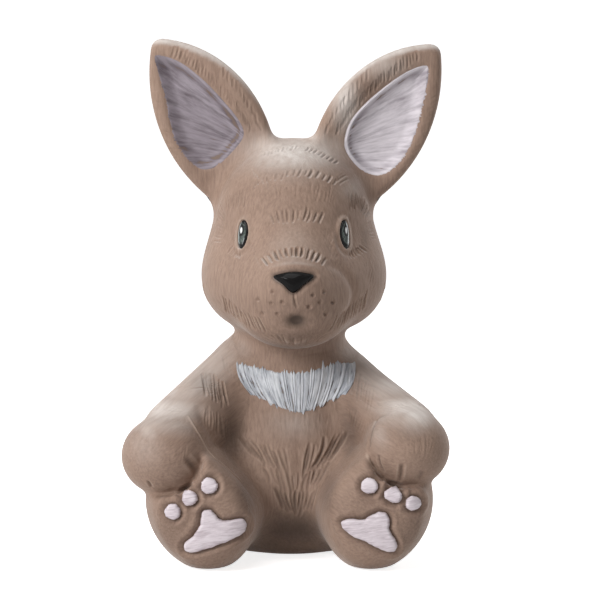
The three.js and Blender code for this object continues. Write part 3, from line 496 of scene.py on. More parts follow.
def looking(out, centre):
    """A face's axes: its right lies level, and its up makes it a right-handed set with the way it looks."""
    out = np.array(out) / np.linalg.norm(out)
    right = np.array([-out[1], out[0], 0]) / math.hypot(out[0], out[1])
    return dict(centre=centre, right=right, up=np.cross(out, right), out=out)


FRONT = looking((0, -1, 0), (0, -50, 0))
BACK = looking((0, 1, 0), (0, 40, 0))
LEFT_SIDE = looking((-1, 0, 0), (-50, 0, 0))
RIGHT_SIDE = looking((1, 0, 0), (50, 0, 0))
LEFT_FRONT = looking((-1, -1, 0), (-35, -35, 0))
RIGHT_FRONT = looking((1, -1, 0), (35, -35, 0))
LEFT_FOREARM = looking((-0.35, -0.66, 0.66), (-34, -21, 47))
RIGHT_FOREARM = looking((0.35, -0.66, 0.66), (33, -24, 45.6))
EAR_FACES, EAR_BACKS = [], []
for size in EARS:
    ear_root, (across, along, out_of_face) = ear_axes(**size)
    EAR_FACES.append(dict(centre=ear_root, right=across, up=along, out=out_of_face))
    EAR_BACKS.append(dict(centre=ear_root, right=across, up=along, out=-out_of_face))

# Painted area of each ear's face, outwards and up from its root: round the tip, the inner edge and the foot.
LEFT_LINING = [(1.6, 58.6), (-3.8, 53.5), (-7.4, 45.7), (-9.7, 37.4), (-10.9, 29.7), (-9.8, 25.3),
               (-4.8, 22.9), (1.7, 21.5), (5.8, 22.5), (7.8, 25.6), (8.8, 32.6), (7.5, 39.5), (4.9, 47.1),
               (3.1, 54.8)]
RIGHT_LINING = [(-0.3, 55.8), (-4.4, 51.0), (-8.1, 42.5), (-10.3, 34.5), (-10.5, 28.6), (-8.2, 23.2),
                (-3.6, 20.6), (1.5, 19.9), (5.6, 21.4), (8.0, 25.4), (8.7, 31.5), (7.3, 39.2), (4.6, 47.2),
                (2.0, 53.4)]
EAR_DISH = 2.2
LINING_RAIL = 0.5
LINING_MIDDLE = (-1.0, 34.0)

rng = np.random.default_rng(11)
strokes = []
dents = []


def on_surface(face, spots):
    """Where lines through spots of a face's plane meet the figure, and the outward normals there. A point
    walks down its line by most of its distance from the form, forty times."""
    right, up, out = (np.asarray(face[key], dtype=np.float32) for key in ("right", "up", "out"))
    points = np.asarray(face["centre"]) + spots[:, :1] * right + spots[:, 1:] * up + THROW_START * out
    points = points.astype(np.float32)
    for _ in range(THROW_STEPS):
        points = points - out * (THROW_SHARE * np.clip(hare(points), -1, THROW_MOST))[:, None]
    gradient = slope(hare, points)[1]
    return points, gradient / np.linalg.norm(gradient, axis=1)[:, None]


def through(corners, count, closed=False):
    """A smooth line through a few points, as a uniform Catmull-Rom curve: each stretch is the cubic whose
    slopes at its ends are half the step between the neighbours."""
    corners = np.asarray(corners, dtype=float)
    if not closed:
        corners = np.vstack([2 * corners[0] - corners[1], corners, 2 * corners[-1] - corners[-2]])
    stretches = len(corners) if closed else len(corners) - 3
    t = np.linspace(0, stretches, count, endpoint=not closed)
    index = np.minimum(t.astype(int), stretches - 1)
    f = (t - index)[:, None]
    shift = -1 if closed else 0
    a, b, c, d = (corners[(index + shift + k) % len(corners)] for k in range(4))
    bend, twist = 2 * a - 5 * b + 4 * c - d, 3 * b - a - 3 * c + d
    return 0.5 * (2 * b + (c - a) * f + bend * f ** 2 + twist * f ** 3)


def groove(face, corners, width, depth, lip=0.3):
    """One groove through corners on a face, by its half width, its depth and the share its lips stand up."""
    strokes.append((face, through(corners, 9), width, depth, lip))


def comb(face, start, end, count, length, turns, sag=0.0, width=0.33, depth=0.42, focus=None, stray=1.0):
    """A row of strokes whose middles lie on a flat arc. They lean from straight up by degrees that run evenly
    from the first turn to the second, or away from a focus. Each strays a little from its place, length and
    lean, and has a hair stroke beside it in rows that stray freely."""
    start, run = np.array(start, dtype=float), np.array(end, dtype=float) - start
    share = (np.arange(count) + 0.5 + stray * rng.uniform(-0.3, 0.3, count)) / count
    rise = 4 * share * (1 - share) * sag / np.hypot(*run) + stray * rng.normal(0, 0.04, count) * length / 10
    middles = start + share[:, None] * run + rise[:, None] * np.array([-run[1], run[0]])
    lean = np.radians(turns[0] + share * (turns[1] - turns[0]) + stray * rng.normal(0, 4, count))
    if focus is not None:
        away = middles - focus
        lean = np.arctan2(away[:, 0], away[:, 1]) + stray * rng.normal(0, 0.1, count)
    reach = np.linspace(-0.5, 0.5, 5)[:, None] * length
    stretches = 1 + stray * rng.uniform(-0.4, 0.25, count)
    bows = rng.normal(0, 0.045 * length, count)
    for middle, angle, stretch, bow in zip(middles, lean, stretches, bows):
        ahead = np.array([math.sin(angle), math.cos(angle)])
        aside = np.array([math.cos(angle), -math.sin(angle)])
        line = middle + reach * stretch * ahead + bow * (2 * reach / length) ** 2 * aside
        strokes.append((face, line, width * rng.uniform(0.8, 1.25), depth * rng.uniform(0.6, 1.15), 0.32))
        hair = line * 0.8 + 0.2 * middle + rng.uniform(0.5, 0.8) * rng.choice([-1, 1]) * aside + 0.3 * ahead
        if stray > HAIRY_STRAY:
            strokes.append((face, hair, 0.2, 0.3 * depth, 0.3))


def dent(face, spot, radii, depth, shade=0.0):
    """A hollow exp(-q^2) deep, where q is the distance from a spot over its radii across and up the face."""
    dents.append((face, np.array([spot], dtype=float), radii, depth, shade))


# Face: rows over the nose, on the forehead and on the crown, and lashes round the eyes
comb(FRONT, (-8.8, 87.2), (9.2, 87.2), 12, 2.7, (-40, 40), sag=3.2, width=0.3, depth=0.62, stray=0.3)
comb(FRONT, (-7.0, 99.0), (8.6, 99.2), 10, 3.6, (-20, 32), sag=1.2, width=0.26, depth=0.4, stray=0.6)
comb(FRONT, (-2.6, 111.6), (12.4, 108.8), 9, 2.3, (22, 36), sag=1.6, width=0.28, depth=0.42, stray=0.6)
comb(FRONT, (-12.0, 108.0), (-2.6, 111.2), 7, 2.2, (8, 20), sag=0.8, width=0.28, depth=0.28)
comb(FRONT, (3.2, 118.6), (12.8, 114.2), 8, 1.6, (48, 60), sag=0.4, width=0.26, depth=0.4, stray=0.5)
comb(FRONT, (-9.0, 116.8), (1.6, 118.8), 8, 1.4, (20, 40), sag=0.5, width=0.26, depth=0.3)
comb(LEFT_FRONT, (-8.6, 101.6), (-7.4, 91.6), 10, 6.0, (-58, -96), width=0.24, depth=0.2, stray=0.6)
comb(LEFT_FRONT, (-6.5, 102.6), (2.6, 103.4), 10, 5.0, (-34, 0), sag=0.8, width=0.26, depth=0.3, stray=0.6)
comb(RIGHT_FRONT, (0.2, 104.0), (10.4, 99.4), 12, 5.0, (8, 66), sag=1.4, width=0.26, depth=0.36, stray=0.6)
comb(RIGHT_FRONT, (9.6, 97.6), (10.6, 92.0), 6, 3.8, (74, 96), width=0.24, depth=0.2, stray=0.6)
comb(FRONT, (-12.0, 112.6), (-4.0, 106.4), 6, 3.6, (-30, -10), width=0.26, depth=0.2)
comb(FRONT, (13.0, 110.6), (18.6, 106.0), 6, 4.6, (62, 74), width=0.26, depth=0.3)
comb(FRONT, (-18.8, 90.6), (-15.2, 88.6), 6, 2.6, (-140, -175), depth=0.26)
comb(FRONT, (16.0, 88.8), (20.4, 90.4), 7, 2.6, (168, 130), depth=0.36)
comb(FRONT, (-9.6, 105.4), (12.0, 105.4), 20, 4.6, (-16, 16), sag=1.2, width=0.28, depth=0.12)
comb(FRONT, (-13.0, 94.5), (-9.0, 86.0), 9, 3.8, (-8, -25), width=0.28, depth=0.12)
comb(FRONT, (9.0, 95.5), (12.0, 86.0), 9, 3.8, (8, 25), width=0.28, depth=0.12)
comb(FRONT, (-22.0, 86.5), (-12.0, 80.5), 12, 5.0, (-22, -30), width=0.28, depth=0.1)
comb(FRONT, (21.5, 86.5), (22.5, 78.0), 9, 5.0, (14, 24), width=0.28, depth=0.12)

# Cheeks, jaw and throat
comb(FRONT, (-20.2, 74.8), (-8.6, 69.6), 13, 5.4, (-10, -28), sag=-0.8, width=0.3, depth=0.66, stray=0.4)
comb(FRONT, (20.8, 76.4), (10.8, 69.8), 12, 5.2, (8, 26), sag=0.8, width=0.28, depth=0.5, stray=0.4)
comb(FRONT, (-11.6, 60.4), (-2.4, 59.2), 13, 3.0, (-62, -66), width=0.24, depth=0.1, stray=0.6)
comb(FRONT, (2.6, 59.2), (12.6, 60.6), 13, 3.0, (66, 62), width=0.24, depth=0.1, stray=0.6)
comb(FRONT, (-8.0, 66.4), (8.6, 66.4), 11, 3.0, (-64, 64), sag=-1.2, width=0.28, depth=0.36)
comb(LEFT_SIDE, (-4, 72), (8, 78), 9, 5.0, (28, 12), depth=0.4)
comb(RIGHT_SIDE, (-8, 78), (4, 72), 9, 5.0, (-12, -28), depth=0.4)
comb(LEFT_SIDE, (-10, 92), (-2, 98), 8, 4.6, (60, 40), depth=0.32)
comb(RIGHT_SIDE, (2, 98), (10, 92), 8, 4.6, (-40, -60), depth=0.32)

# Arms: grooves from the armpits, rows over wrists and forearms, and long light strokes down the upper arms
comb(FRONT, (-26.0, 51.4), (-19.6, 48.0), 9, 7.0, (-14, -10), sag=0.6, width=0.3, depth=0.42, stray=0.5)
comb(FRONT, (-25.0, 43.0), (-18.6, 37.6), 9, 6.6, (-8, 0), width=0.28, depth=0.3, stray=0.5)
comb(FRONT, (-20.4, 57.0), (-15.0, 51.6), 6, 4.0, (-14, -18), depth=0.18, stray=0.6)
comb(FRONT, (15.4, 53.0), (22.6, 46.0), 10, 6.6, (4, 14), depth=0.26, stray=0.5)
comb(FRONT, (15.6, 43.4), (20.4, 38.6), 7, 5.6, (14, 22), depth=0.22, stray=0.6)
comb(LEFT_FOREARM, (-5.0, 3.6), (5.6, 5.4), 12, 4.4, (40, 56), width=0.26, depth=0.12, stray=0.6)
comb(LEFT_FOREARM, (-7.4, -5.0), (4.0, -5.4), 14, 2.4, (10, 50), sag=0.6, width=0.26, depth=0.2, stray=0.6)
comb(RIGHT_FOREARM, (-8.0, 3.4), (6.0, 4.0), 12, 4.6, (-60, -80), width=0.26, depth=0.12, stray=0.6)
comb(RIGHT_FOREARM, (-7.0, -1.4), (8.0, -2.0), 16, 2.2, (-26, 36), sag=1.6, width=0.28, depth=0.26, stray=0.6)
comb(FRONT, (-41.5, 36.0), (-30.0, 34.0), 14, 6.0, (-6, 8), width=0.26, depth=0.09)
comb(FRONT, (24.0, 35.6), (39.5, 36.6), 16, 6.0, (-8, 8), width=0.26, depth=0.1)
comb(LEFT_SIDE, (2, 46), (22, 36), 9, 5.0, (40, 62), depth=0.35)
comb(RIGHT_SIDE, (-22, 36), (-2, 46), 9, 5.0, (-62, -40), depth=0.35)

# Belly: rows that draw together towards the seat on both sides of a shallow crease
groove(FRONT, [(1.2, 39.0), (1.5, 32.0), (1.0, 26.0), (0.6, 20.0)], 1.3, 0.3, 0)
comb(FRONT, (-14.0, 33.6), (-1.4, 29.0), 10, 8.6, (0, 0), -0.8, 0.36, 0.5, focus=(1.6, 14.0), stray=0.6)
comb(FRONT, (2.4, 29.4), (14.0, 34.0), 10, 9.6, (0, 0), -0.8, 0.38, 0.56, focus=(1.0, 15.0), stray=0.6)
comb(FRONT, (-8.0, 26.0), (9.0, 27.0), 12, 7.0, (0, 0), -3.4, 0.34, 0.45, focus=(0.6, 11.0), stray=0.8)
comb(FRONT, (-4.6, 19.0), (6.2, 19.6), 10, 8.0, (0, 0), -2.2, 0.38, 0.55, focus=(0.6, 6.0), stray=0.6)
comb(FRONT, (-13.5, 41.0), (13.0, 41.0), 18, 5.0, (-10, 10), width=0.28, depth=0.1)

# Back, haunches and tail, which the photograph doesn't show, scored more sparely in the same hand
BACK_ROWS = [(22, 22), (30, 23), (38, 20), (46, 17), (54, 15), (62, 11), (76, 12), (84, 16), (92, 18),
             (100, 17), (108, 13), (115, 8)]
for level, half in BACK_ROWS:
    ends = level + rng.uniform(-3, 3, 2)
    comb(BACK, (-half, ends[0]), (half, ends[1]), round(half / 2), 4.6, (-half, half),
         rng.uniform(-3, 3), 0.28, 0.24, stray=1.8)
comb(BACK, (-5.5, 14), (5.5, 14), 9, 5.0, (-50, 50), sag=4, width=0.28, depth=0.3)
for level in (16, 24, 32):
    comb(LEFT_SIDE, (-20, level + 2), (10, level), 9, 4.6, (30, 60),
         rng.uniform(-3, 3), 0.28, 0.22, stray=1.8)
    comb(RIGHT_SIDE, (-10, level), (20, level + 2), 9, 4.6, (-60, -30),
         rng.uniform(-3, 3), 0.28, 0.22, stray=1.8)

# Ears: slanted strokes along the inner band of each face, and long ones up their backs
for face, (low_turn, high_turn) in zip(EAR_FACES, ((-8, -52), (-10, -36))):
    groove(face, [(-13.4, 25.0), (-14.6, 32.0), (-13.0, 41.0), (-9.6, 49.0), (-6.0, 54.5)], 2.3, -0.6, 0)
    comb(face, (-12.4, 26.0), (-3.8, 57.0), 29, 3.6, (low_turn - 14, high_turn),
         sag=2.6, width=0.26, depth=0.36, stray=0.6)
    comb(face, (-15.4, 24.0), (-13.6, 45.0), 11, 3.2, (low_turn - 6, low_turn - 20),
         sag=1.2, width=0.26, depth=0.3, stray=0.6)
    comb(face, (10.6, 26.0), (6.4, 50.0), 14, 2.4, (60, 30), sag=-0.8, width=0.28, depth=0.14)
for face in EAR_BACKS:
    for level, half in ((18, 7), (25, 10), (32, 10), (39, 9), (46, 6), (52, 4)):
        comb(face, (-half, level), (half - 2, level + 2), half // 2 + 2, 5.0, (-14, 18),
             0, 0.26, 0.22, stray=1.6)
for face, lining in zip(EAR_FACES, (LEFT_LINING, RIGHT_LINING)):
    inner_edge = np.array(lining[1:8])
    groove(face, 0.93 * (inner_edge - LINING_MIDDLE) + LINING_MIDDLE, 0.35, -LINING_RAIL, 0)

# Muzzle's edge, the line under the nose, the lip, whisker pits and the mouth
groove(FRONT, [(8.6, 87.0), (13.8, 84.8), (17.0, 79.6), (16.4, 74.6), (13.2, 70.8)], 1.7, 0.7, 0)
groove(FRONT, [(0.0, 79.8), (0.1, 78.0), (0.4, 76.2), (1.0, 74.9)], 0.3, 0.45, 0.3)
groove(FRONT, [(-3.6, 66.2), (-1.0, 64.9), (1.4, 64.7), (5.2, 66.0)], 0.7, -0.3, 0)
# Whisker pits, each with a little painted shade in its hollow
for pit in [(-5.9, 79.4), (-10.0, 77.0), (-6.3, 76.2), (-3.2, 76.6), (-8.8, 73.1), (-4.6, 73.2),
            (5.4, 78.6), (8.6, 79.3), (7.3, 76.6), (11.0, 76.2), (4.3, 75.3), (8.9, 73.1)]:
    dent(FRONT, pit, rng.uniform(0.42, 0.58, 2), rng.uniform(0.45, 0.6), 0.08)
dent(FRONT, (0.8, 71.0), (2.8, 1.9), 1.6, 1.4)

# Eye sockets, deeper at the hare's left, where a ridge runs down beside the nose
dent(FRONT, (18.8, 93.6), (4.2, 6.4), 0.8)
dent(FRONT, (-18.6, 93.6), (4.2, 6.4), 0.4)
groove(FRONT, [(16.6, 101.2), (12.6, 96.8), (11.4, 92.0), (14.6, 87.4)], 1.1, -0.3, 0)

# Fingers, and the crests and hollows where the arms lie on the feet
groove(FRONT, [(23.8, 33.6), (24.2, 31.0), (25.6, 28.4)], 0.42, 0.5, 0.25)
groove(FRONT, [(30.4, 31.6), (30.2, 29.4), (29.9, 26.2)], 0.55, 0.55, 0.25)
groove(FRONT, [(36.2, 29.6), (35.8, 28.0), (34.8, 26.2)], 0.9, 0.35, 0)
groove(FRONT, [(20.4, 33.8), (22.0, 30.0), (25.0, 27.0)], 0.45, -0.35, 0)
groove(FRONT, [(-30.4, 33.0), (-28.8, 31.0), (-27.2, 28.2)], 0.9, 0.5, 0.25)
groove(FRONT, [(-41.0, 26.4), (-40.4, 25.2), (-40.0, 24.2)], 0.4, 0.5, 0.25)
groove(FRONT, [(-36.6, 28.6), (-35.6, 26.4), (-33.6, 24.8)], 1.2, 0.3, 0)
groove(FRONT, [(-30.1, 43.6), (-27.4, 39.3), (-24.1, 33.6), (-20.1, 30.0), (-15.0, 25.0)], 0.34, -0.35, 0)
groove(FRONT, [(-27.4, 46.0), (-24.6, 40.8), (-21.4, 35.8)], 1.8, 1.0, 0)
groove(FRONT, [(16.8, 44.6), (18.8, 39.6), (20.0, 35.8), (17.0, 31.2), (13.6, 26.8)], 0.34, -0.3, 0)
groove(FRONT, [(13.6, 46.0), (15.4, 41.0), (16.8, 37.0)], 1.6, 0.8, 0)
groove(FRONT, [(26.4, 44.2), (23.6, 42.7), (21.8, 39.0), (21.2, 34.8)], 0.8, 0.5, 0)

# White brushing with painted highlight on lit tops, and painted shade in creases: place, radii and strength
WHITE_BRUSHING_AND_HIGHLIGHT = [
    (0.5, 117.8, 14.0, 5.0, 1.0), (16.8, 107.5, 4.0, 3.0, 0.3), (-36.2, 45.0, 8.0, 3.2, 1.0),
    (32.8, 46.0, 9.5, 3.0, 1.0), (-41.0, 40.5, 3.0, 3.0, 0.45), (-34.4, 48.8, 3.0, 3.0, 0.6),
    (28.0, 50.6, 7.0, 4.2, 0.8), (34.6, 44.6, 5.0, 3.4, 1.0), (24.0, 39.6, 2.5, 4.0, 0.25),
    (0.5, 40.0, 7.0, 4.0, 0.22), (-15.6, 60.4, 3.0, 3.0, 0.2), (16.6, 59.0, 3.0, 3.0, 0.4),
    (-42.0, 37.0, 5.0, 6.0, 0.2), (14.7, 132.4, 3.5, 9.0, 0.8), (24.9, 142.5, 7.0, 4.0, 0.4),
]
# Painted shade: the creases by the arms, under the chin, the muzzle's sides, an eye socket, the feet and the
# seat
PAINTED_SHADE = [
    (-26.0, 51.8, 3.6, 3.6, 0.6), (31.8, 40.0, 5.0, 2.4, 0.2), (39.0, 128.0, 3.0, 10.0, 0.15),
    (-14.1, 131.0, 3.0, 8.0, 0.22), (-22.4, 49.0, 4.0, 6.0, 0.35), (-18.0, 36.0, 3.6, 8.0, 0.6),
    (-13.6, 22.0, 3.0, 7.0, 0.45), (16.2, 37.0, 2.6, 7.0, 0.5), (9.6, 22.0, 2.6, 7.0, 0.35),
    (0.0, 62.4, 16.0, 3.0, 0.45), (0.5, 66.6, 10.0, 2.6, 0.35), (0.5, 74.0, 13.0, 6.0, 0.14),
    (0.5, 9.0, 12.0, 6.0, 0.78), (-36.0, 10.0, 6.0, 8.0, 0.22), (34.0, 10.0, 6.0, 8.0, 0.2),
    (20.5, 93.0, 1.6, 5.0, 0.3),
]

LIP_OUT, LIP_SPREAD, LIP_DROWNED = 1.9, 0.8, 0.2
PIT_RIM_OUT, PIT_RIM_SPREAD, PIT_RIM_SHARE = 1.7, 0.6, 0.4
MOAT_OUT, MOAT_SPREAD = 0.35, 0.65
CREST_OUT, CREST_SPREAD, CREST_SHARE = 1.8, 0.55, 0.55
PAD_BEDDED = 0.3


def thrown(items):
    """The lines of a list of strokes or dents as lines on the figure's surface, all found in one go."""
    counts = [len(line) for _, line, *_ in items]
    faces = {key: np.repeat([face[key] for face, *_ in items], counts, axis=0) for key in FRONT}
    points = on_surface(faces, np.vstack([line for _, line, *_ in items]))[0]
    return np.split(points, np.cumsum(counts)[:-1])


# A stroke that would leap from one form to another behind it is left out
laid = thrown(strokes)
whole = [(np.linalg.norm(np.diff(line, axis=0), axis=1) < 2 * np.hypot(*np.diff(flat, axis=0).T) + 0.4).all()
         for line, (_, flat, *_) in zip(laid, strokes)]
laid, strokes = ([item for item, keep in zip(items, whole) if keep] for items in (laid, strokes))
pressed = [spot[0] for spot in thrown(dents)]


def outline_distance(spots, outline):
    """Signed distance of spots from a closed outline: to its nearest edge, and negative where a level line to
    the right crosses the outline an odd number of times."""
    start, end = outline, np.roll(outline, -1, axis=0)
    edge = end - start
    off = spots[:, None] - start
    t = np.clip(np.einsum("ijk,jk->ij", off, edge) / np.einsum("jk,jk->j", edge, edge), 0, 1)
    gap = off - t[..., None] * edge
    distance = np.sqrt(np.einsum("ijk,ijk->ij", gap, gap).min(axis=1))
    rise = np.where(np.abs(edge[:, 1]) < 1e-9, 1e-9, edge[:, 1])
    straddles = (start[:, 1] > spots[:, 1:]) != (end[:, 1] > spots[:, 1:])
    crossed = straddles & (off[..., 0] < off[..., 1] * edge[:, 0] / rise)
    return np.where(crossed.sum(axis=1) % 2 == 1, -distance, distance)


def relief(points):
    """How far the coat's relief stands off the smooth form at points, with how deep in a stroke, how high on
    a lip and how far in a shaded dent they lie. A stroke is exp(-r^2) deep at r half widths from its line,
    its lips stand 1.9 half widths out, and both run out at its ends."""
    deep, lip, broad, shaded = np.zeros((4, len(points)), dtype=np.float32)
    order = np.argsort(points[:, 2])
    heights = points[order, 2]
    for (_, _, width, depth, lip_share), line in zip(strokes, laid):
        low, high = line.min(axis=0) - 4 * width, line.max(axis=0) + 4 * width
        near = order[np.searchsorted(heights, low[2]):np.searchsorted(heights, high[2])]
        near = near[np.all((points[near, :2] > low[:2]) & (points[near, :2] < high[:2]), axis=1)]
        if not len(near):
            continue
        step = np.diff(line, axis=0)
        off = points[near, None] - line[:-1]
        t = np.clip(np.einsum("ijk,jk->ij", off, step) / np.einsum("jk,jk->j", step, step), 0, 1)
        gap = np.linalg.norm(off - t[..., None] * step, axis=2)
        nearest = gap.argmin(axis=1)
        rows = np.arange(len(near))
        r = gap[rows, nearest] / width
        share = (nearest + t[rows, nearest]) / len(step)
        fade = np.sqrt(np.clip(4.2 * share * (1 - share), 0, 1))
        cut = depth * fade * np.exp(-r ** 2)
        if width >= 1:
            broad[near] -= cut
        elif depth > 0:
            deep[near] = np.maximum(deep[near], cut)
        else:
            lip[near] = np.maximum(lip[near], -cut)
            continue
        crest = np.exp(-((r - LIP_OUT) / LIP_SPREAD) ** 2)
        lip[near] = np.maximum(lip[near], lip_share * abs(depth) * fade * crest)
    for (face, _, radii, depth, shade), spot in zip(dents, pressed):
        q = points - spot
        across, upward, ahead = (q @ np.asarray(face[key], dtype=np.float32)
                                 for key in ("right", "up", "out"))
        r = np.sqrt((across / radii[0]) ** 2 + (upward / radii[1]) ** 2 + (ahead / (2 * max(radii))) ** 2)
        broad -= depth * np.exp(-r ** 2)
        shaded = np.maximum(shaded, shade * np.exp(-r ** 2))
        if max(radii) < 1:
            broad += PIT_RIM_SHARE * depth * np.exp(-((r - PIT_RIM_OUT) / PIT_RIM_SPREAD) ** 2)
    for face, lining in zip(EAR_FACES, (LEFT_LINING, RIGHT_LINING)):
        u, v, w = ((points - face["centre"]) @ np.stack([face["right"], face["up"], face["out"]]).T).T
        near = np.flatnonzero((w - ear_curl(u) > 0) & (np.abs(u) < 16) & (v > 14) & (v < 62))
        edge = outline_distance(np.stack([u[near], v[near]], axis=1), through(lining, 80, closed=True))
        broad[near] -= EAR_DISH * smooth(0.8, -4.0, edge) * smooth(0, 2, (w - ear_curl(u))[near])
    lip *= 1 - np.minimum(deep / LIP_DROWNED, 1)
    return broad - deep + lip, deep, lip, shaded


seats = []


def seat(face, outline, sink, moat):
    """A place that the moulding leaves for a pad or a painted field, with a groove of some depth round it."""
    seats.append((face, outline, sink, moat))


def seat_relief(points, normals):
    """How far the seats stand off the form, with shares of painted shade in a moat and of painted highlight
    on a raised rim. A seat's floor is sunk inside its outline, its moat is exp(-q^2) deep just outside it,
    and a low crest runs round the moat. A moat of less than nothing is a raised rim."""
    lower, dark, pale = np.zeros((3, len(points)), dtype=np.float32)
    for face, outline, sink, moat in seats:
        axes = np.stack([face["right"], face["up"], face["out"]]).astype(np.float32)
        spots = (points - np.asarray(face["centre"], dtype=np.float32)) @ axes.T
        low, high = outline.min(axis=0) - 3.5, outline.max(axis=0) + 3.5
        inside = np.all((spots[:, :2] > low) & (spots[:, :2] < high), axis=1) & (np.abs(spots[:, 2]) < 14)
        near = np.flatnonzero(inside & (normals @ axes[2] > 0.1))
        edge = outline_distance(spots[near, :2], outline)
        if moat:
            groove_depth = moat * np.exp(-((edge - MOAT_OUT) / MOAT_SPREAD) ** 2)
            crest = CREST_SHARE * moat * np.exp(-((edge - CREST_OUT) / CREST_SPREAD) ** 2)
            lower[near] += sink * smooth(0.3, -0.4, edge) + groove_depth - crest
            # Painted shade in a moat, and painted highlight on a raised rim
            tint = dark if moat > 0 else pale
            tint[near] = np.maximum(tint[near], np.exp(-((edge - 0.3) / 0.45) ** 2))
        else:
            lower[near] += sink * smooth(-0.4, -1.2, edge)
    return -lower, dark, pale


def outward(points, *face_sets):
    """The same faces, turned over if the volume that they bound comes out negative."""
    volume = 0
    for faces in face_sets:
        for k in range(1, faces.shape[1] - 1):
            area = np.cross(points[faces[:, k]], points[faces[:, k + 1]])
            volume += np.einsum("ij,ij->i", points[faces[:, 0]], area).sum()
    return face_sets if volume > 0 else [faces[:, ::-1] for faces in face_sets]


def dressed(piece, material, slot_name, *nodes):
    """Finishes a piece: its material, the CAD nodes that it stands for and hides, and its body. The slot name
    is not used.
    """
    piece.data.materials.append(material)
    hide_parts(*nodes)
    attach(piece, "root")
    return piece


def store(piece, name, values):
    """Keeps one number or vector for each vertex under a name that materials read."""
    values = np.asarray(values, dtype=np.float32)
    kind = "FLOAT" if values.ndim == 1 else "FLOAT_VECTOR"
    layer = piece.data.attributes.new(name, kind, "POINT")
    layer.data.foreach_set("value" if values.ndim == 1 else "vector", values.ravel())


def capped(face, outline, middle, proud, edge, sunk=0.9, rows=16, even=None):
    """A pad on the figure's surface: rings of its outline from the middle out, raised by a quarter circle at
    its edge, the same rings sunk under it, and a wall between the two. Rings well inside a ragged outline
    follow an even one. Gives points, faces and each point's spot."""
    shares = np.sin(np.linspace(0, math.pi / 2, rows + 1))[1:, None, None]
    even = outline if even is None else even
    rings = even + smooth(0.9, 1, shares) * (outline - even)
    spots = np.vstack([[middle], (middle + shares * (rings - middle)).reshape(-1, 2)])
    inwards = np.maximum(-outline_distance(spots, outline), 0)
    dome = np.sqrt(1 - (1 - np.minimum(inwards / edge, 1)) ** 2)
    heights = (proud + PAD_BEDDED) * dome - PAD_BEDDED
    points, normals = on_surface(face, spots)
    points = points + normals * relief(points)[0][:, None]
    points = np.vstack([points + normals * heights[:, None], points - sunk * normals])
    half, count = len(spots), len(outline)
    ring = np.arange(count)
    after = (ring + 1) % count
    hub = np.stack([0 * ring, 1 + after, 1 + ring], axis=1)
    cover = grid_faces(rows, count, closed=True) + 1
    rim = half - count
    wall = np.stack([rim + ring, rim + after, half + rim + after, half + rim + ring], axis=1)
    under = [(faces + half)[:, ::-1] for faces in (cover, hub)]
    return points, outward(points, cover, wall, hub, *under), np.vstack([spots, spots])


def front_face(x, z, azimuth=0):
    """A face's axes at a place seen from the front, turned by an azimuth, with its centre on the surface."""
    turn = math.radians(azimuth)
    centre = on_surface(FRONT, np.array([[x, z]], dtype=float))[0][0]
    return dict(centre=centre, right=(math.cos(turn), math.sin(turn), 0), up=(0, 0, 1),
                out=(math.sin(turn), -math.cos(turn), 0))


def oval(width, height, count=64):
    """Points round an ellipse."""
    angle = np.linspace(0, 2 * math.pi, count, endpoint=False)
    return np.stack([width / 2 * np.cos(angle), height / 2 * np.sin(angle)], axis=1)


# Eyes
# Low oval domes, painted with a mottled grey green iris in a dark outline and a pale catchlight, and coated
# with gloss varnish. Each sits in a shallow rim of the moulding.

EYE_WIDTH, EYE_HEIGHT = 4.2, 7.9
EYE_OUT, EYE_LEVEL, EYE_FACING = 14.6, 94.6, 34
EYE_PROUD, EYE_SKEW = 0.85, 0.15


def stored(tree, name, out="Fac"):
    """What store keeps under a name for each vertex."""
    return wired(tree, "Attribute", {}, out, attribute_name=name)


def noise(tree, place, scale, detail, roughness=0.5, out=0):
    """Soft noise read at a place."""
    return wired(tree, "TexNoise", {"Vector": place, "Scale": scale, "Detail": detail,
                                    "Roughness": roughness}, out)


def blend(tree, share, one, other):
    """One colour, with a share of another laid over it."""
    return wired(tree, "Mix", {0: share, 6: one, 7: other}, 2, data_type="RGBA")


# The pupil and the catchlight: stretch of the oval, its soft edge and its colour
PUPIL_AND_GLINT = [((1.9, 2.1, 0.0), (1.05, 0.8), "#1c1b1b"), ((5.0, 4.6, 0.0), (1.15, 0.85), "#f2f3f1")]
eye_paint, tree = new_paint("varnished_eye_enamel")
place = stored(tree, "spot", "Vector")
radius = wired(tree, "VectorMath", {0: place}, "Value", operation="LENGTH")
iris = wired(tree, "ValToRGB", {"Fac": noise(tree, place, 5.0, 4.0, 0.6)})
iris_ramp = iris.node.color_ramp
iris_ramp.elements[0].position, iris_ramp.elements[0].color = 0.38, linear("#1f2425")
iris_ramp.elements[1].position, iris_ramp.elements[1].color = 0.62, linear("#6d7670")
eye_colour = blend(tree, ranged(tree, radius, 0.66, 0.8), iris, linear("#0d0c0c"))
from_pupil = wired(tree, "VectorMath", {0: place, 1: (0.0, 0.22, 0.0)}, operation="SUBTRACT")
for stretch, soft_edge, tint in PUPIL_AND_GLINT:
    span = wired(tree, "VectorMath", {0: from_pupil, 1: stretch}, operation="MULTIPLY")
    reach = wired(tree, "VectorMath", {0: span}, "Value", operation="LENGTH")
    eye_colour = blend(tree, ranged(tree, reach, *soft_edge), eye_colour, linear(tint))
painted(tree, eye_colour, 0.12, 0.18)

